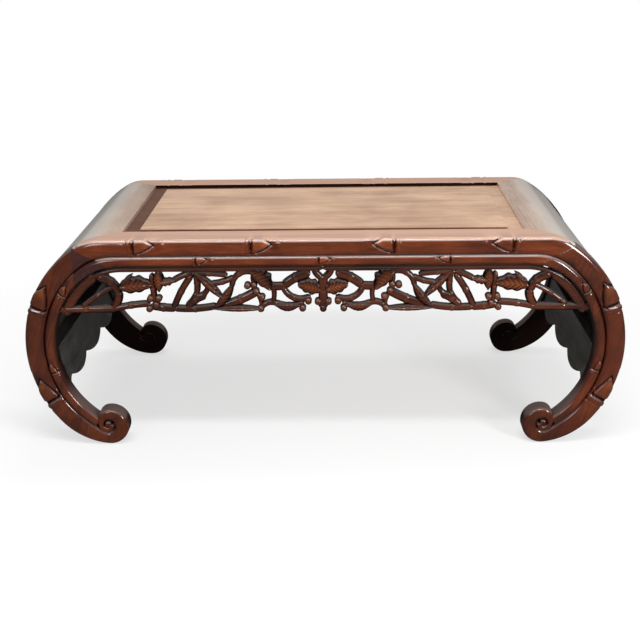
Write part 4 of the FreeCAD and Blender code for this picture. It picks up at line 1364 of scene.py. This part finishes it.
class KANG_OT_stage(Operator):
    """Adds the floor, the lights and the camera"""
    bl_idname = "kang.stage"
    bl_label = "Stage"

    def execute(self, context):
        stage = context.scene.kang_stage
        self.floor(stage)
        self.world()
        for lamp in LAMPS:
            self.lamp(*lamp)
        self.camera(stage)
        context.scene.view_settings.view_transform = "Standard"
        return {"FINISHED"}

    def floor(self, stage):
        bm = bmesh.new()
        bmesh.ops.create_grid(bm, x_segments=1, y_segments=1, size=stage.floor_size / 2)
        mesh = bpy.data.meshes.new("floor")
        bm.to_mesh(mesh)
        bm.free()
        graph = Graph(bpy.data.materials.new("floor_paper"))
        place = graph.place()
        tone = graph.mix(graph.noise(place, 60.0) * 0.06, opaque(stage.floor_colour), FLOOR_TOOTH)
        matt = graph.add("ShaderNodeBsdfDiffuse", {}, {"Color": tone})
        white, dim = [graph.light("ShaderNodeEmission", strength) for strength in (1.0, FLOOR_REFLECTED)]
        reach = graph.add("ShaderNodeVectorMath", {"operation": "LENGTH"}, {0: place}, "Value")
        share = graph.ray("Is Camera Ray") * (FLOOR_NEAR + reach.step(*FLOOR_CLEARING) * (1.0 - FLOOR_NEAR))
        shader = graph.mix_shader(share, matt, white)
        shader = graph.mix_shader(graph.ray("Is Glossy Ray") * FLOOR_REFLECTED_SHARE, shader, dim)
        mesh.materials.append(graph.surface(shader))
        floor = bpy.data.objects.new("floor", mesh)
        bpy.context.scene.collection.objects.link(floor)

    def world(self):
        """White to the camera, softer as a lamp, and dim in reflections so that the lacquer keeps its depth."""
        graph = Graph(bpy.data.worlds.new("studio"))
        soft, white, dim = [graph.light("ShaderNodeBackground", strength)
                            for strength in (WORLD_LIGHT, 1.0, WORLD_REFLECTED)]
        seen = (graph.ray("Is Camera Ray") + graph.ray("Is Transmission Ray")).clamped()
        shader = graph.mix_shader(graph.ray("Is Glossy Ray"), graph.mix_shader(seen, soft, white), dim)
        bpy.context.scene.world = graph.surface(shader, "ShaderNodeOutputWorld")

    def lamp(self, name, place, size, watts):
        light = bpy.data.lights.new(name, "AREA")
        light.shape = "RECTANGLE"
        light.size, light.size_y = size
        light.energy = watts
        lamp = bpy.data.objects.new(name, light)
        lamp.location = place
        lamp.rotation_euler = (LAMP_AIM - Vector(place)).to_track_quat("-Z", "Y").to_euler()
        bpy.context.scene.collection.objects.link(lamp)

    def camera(self, stage):
        data = bpy.data.cameras.new("camera")
        data.sensor_width = 36.0
        data.lens = stage.focal
        level = math.cos(stage.pitch)
        ahead = Vector((math.sin(stage.yaw) * level, math.cos(stage.yaw) * level, -math.sin(stage.pitch)))
        right = Vector((math.cos(stage.yaw), -math.sin(stage.yaw), 0.0))
        down = ahead.cross(right)
        turned = right * math.cos(stage.roll) + down * math.sin(stage.roll)
        lower = down * math.cos(stage.roll) - right * math.sin(stage.roll)
        matrix = Matrix((turned, -lower, -ahead)).transposed().to_4x4()
        matrix.translation = Vector((stage.camera_x, stage.camera_y, stage.camera_z))
        camera = bpy.data.objects.new("camera", data)
        camera.matrix_world = matrix
        bpy.context.scene.collection.objects.link(camera)
        bpy.context.scene.camera = camera


class KANG_PT_panel(Panel):
    """Lists the pieces of the table"""
    bl_idname = "KANG_PT_panel"
    bl_label = "Kang table"
    bl_space_type = "VIEW_3D"
    bl_region_type = "UI"
    bl_category = "Kang table"

    def draw(self, context):
        for operator in OPERATORS:
            self.layout.operator(operator.bl_idname)


GROUPS = (("kang_frame", FrameSizes), ("kang_carving", CarvingSizes), ("kang_apron", ApronSizes),
          ("kang_panel", PanelSizes), ("kang_finish", FinishColours), ("kang_stage", StageSettings))
OPERATORS = (KANG_OT_long_rails, KANG_OT_legs, KANG_OT_heads, KANG_OT_end_rails, KANG_OT_panel,
             KANG_OT_end_boards, KANG_OT_aprons, KANG_OT_stage)


CLASSES = [group for name, group in GROUPS] + list(OPERATORS) + [KANG_PT_panel]


def register():
    for item in CLASSES:
        bpy.utils.register_class(item)
    for name, group in GROUPS:
        setattr(bpy.types.Scene, name, PointerProperty(type=group))


def unregister():
    for name, group in GROUPS:
        delattr(bpy.types.Scene, name)
    for item in reversed(CLASSES):
        bpy.utils.unregister_class(item)


def main():
    register()
    bpy.ops.kang.long_rails()
    bpy.ops.kang.legs()
    bpy.ops.kang.heads()
    bpy.ops.kang.end_rails()
    bpy.ops.kang.panel()
    bpy.ops.kang.end_boards()
    bpy.ops.kang.aprons()
    bpy.ops.kang.stage()


if __name__ == "__main__":
    main()
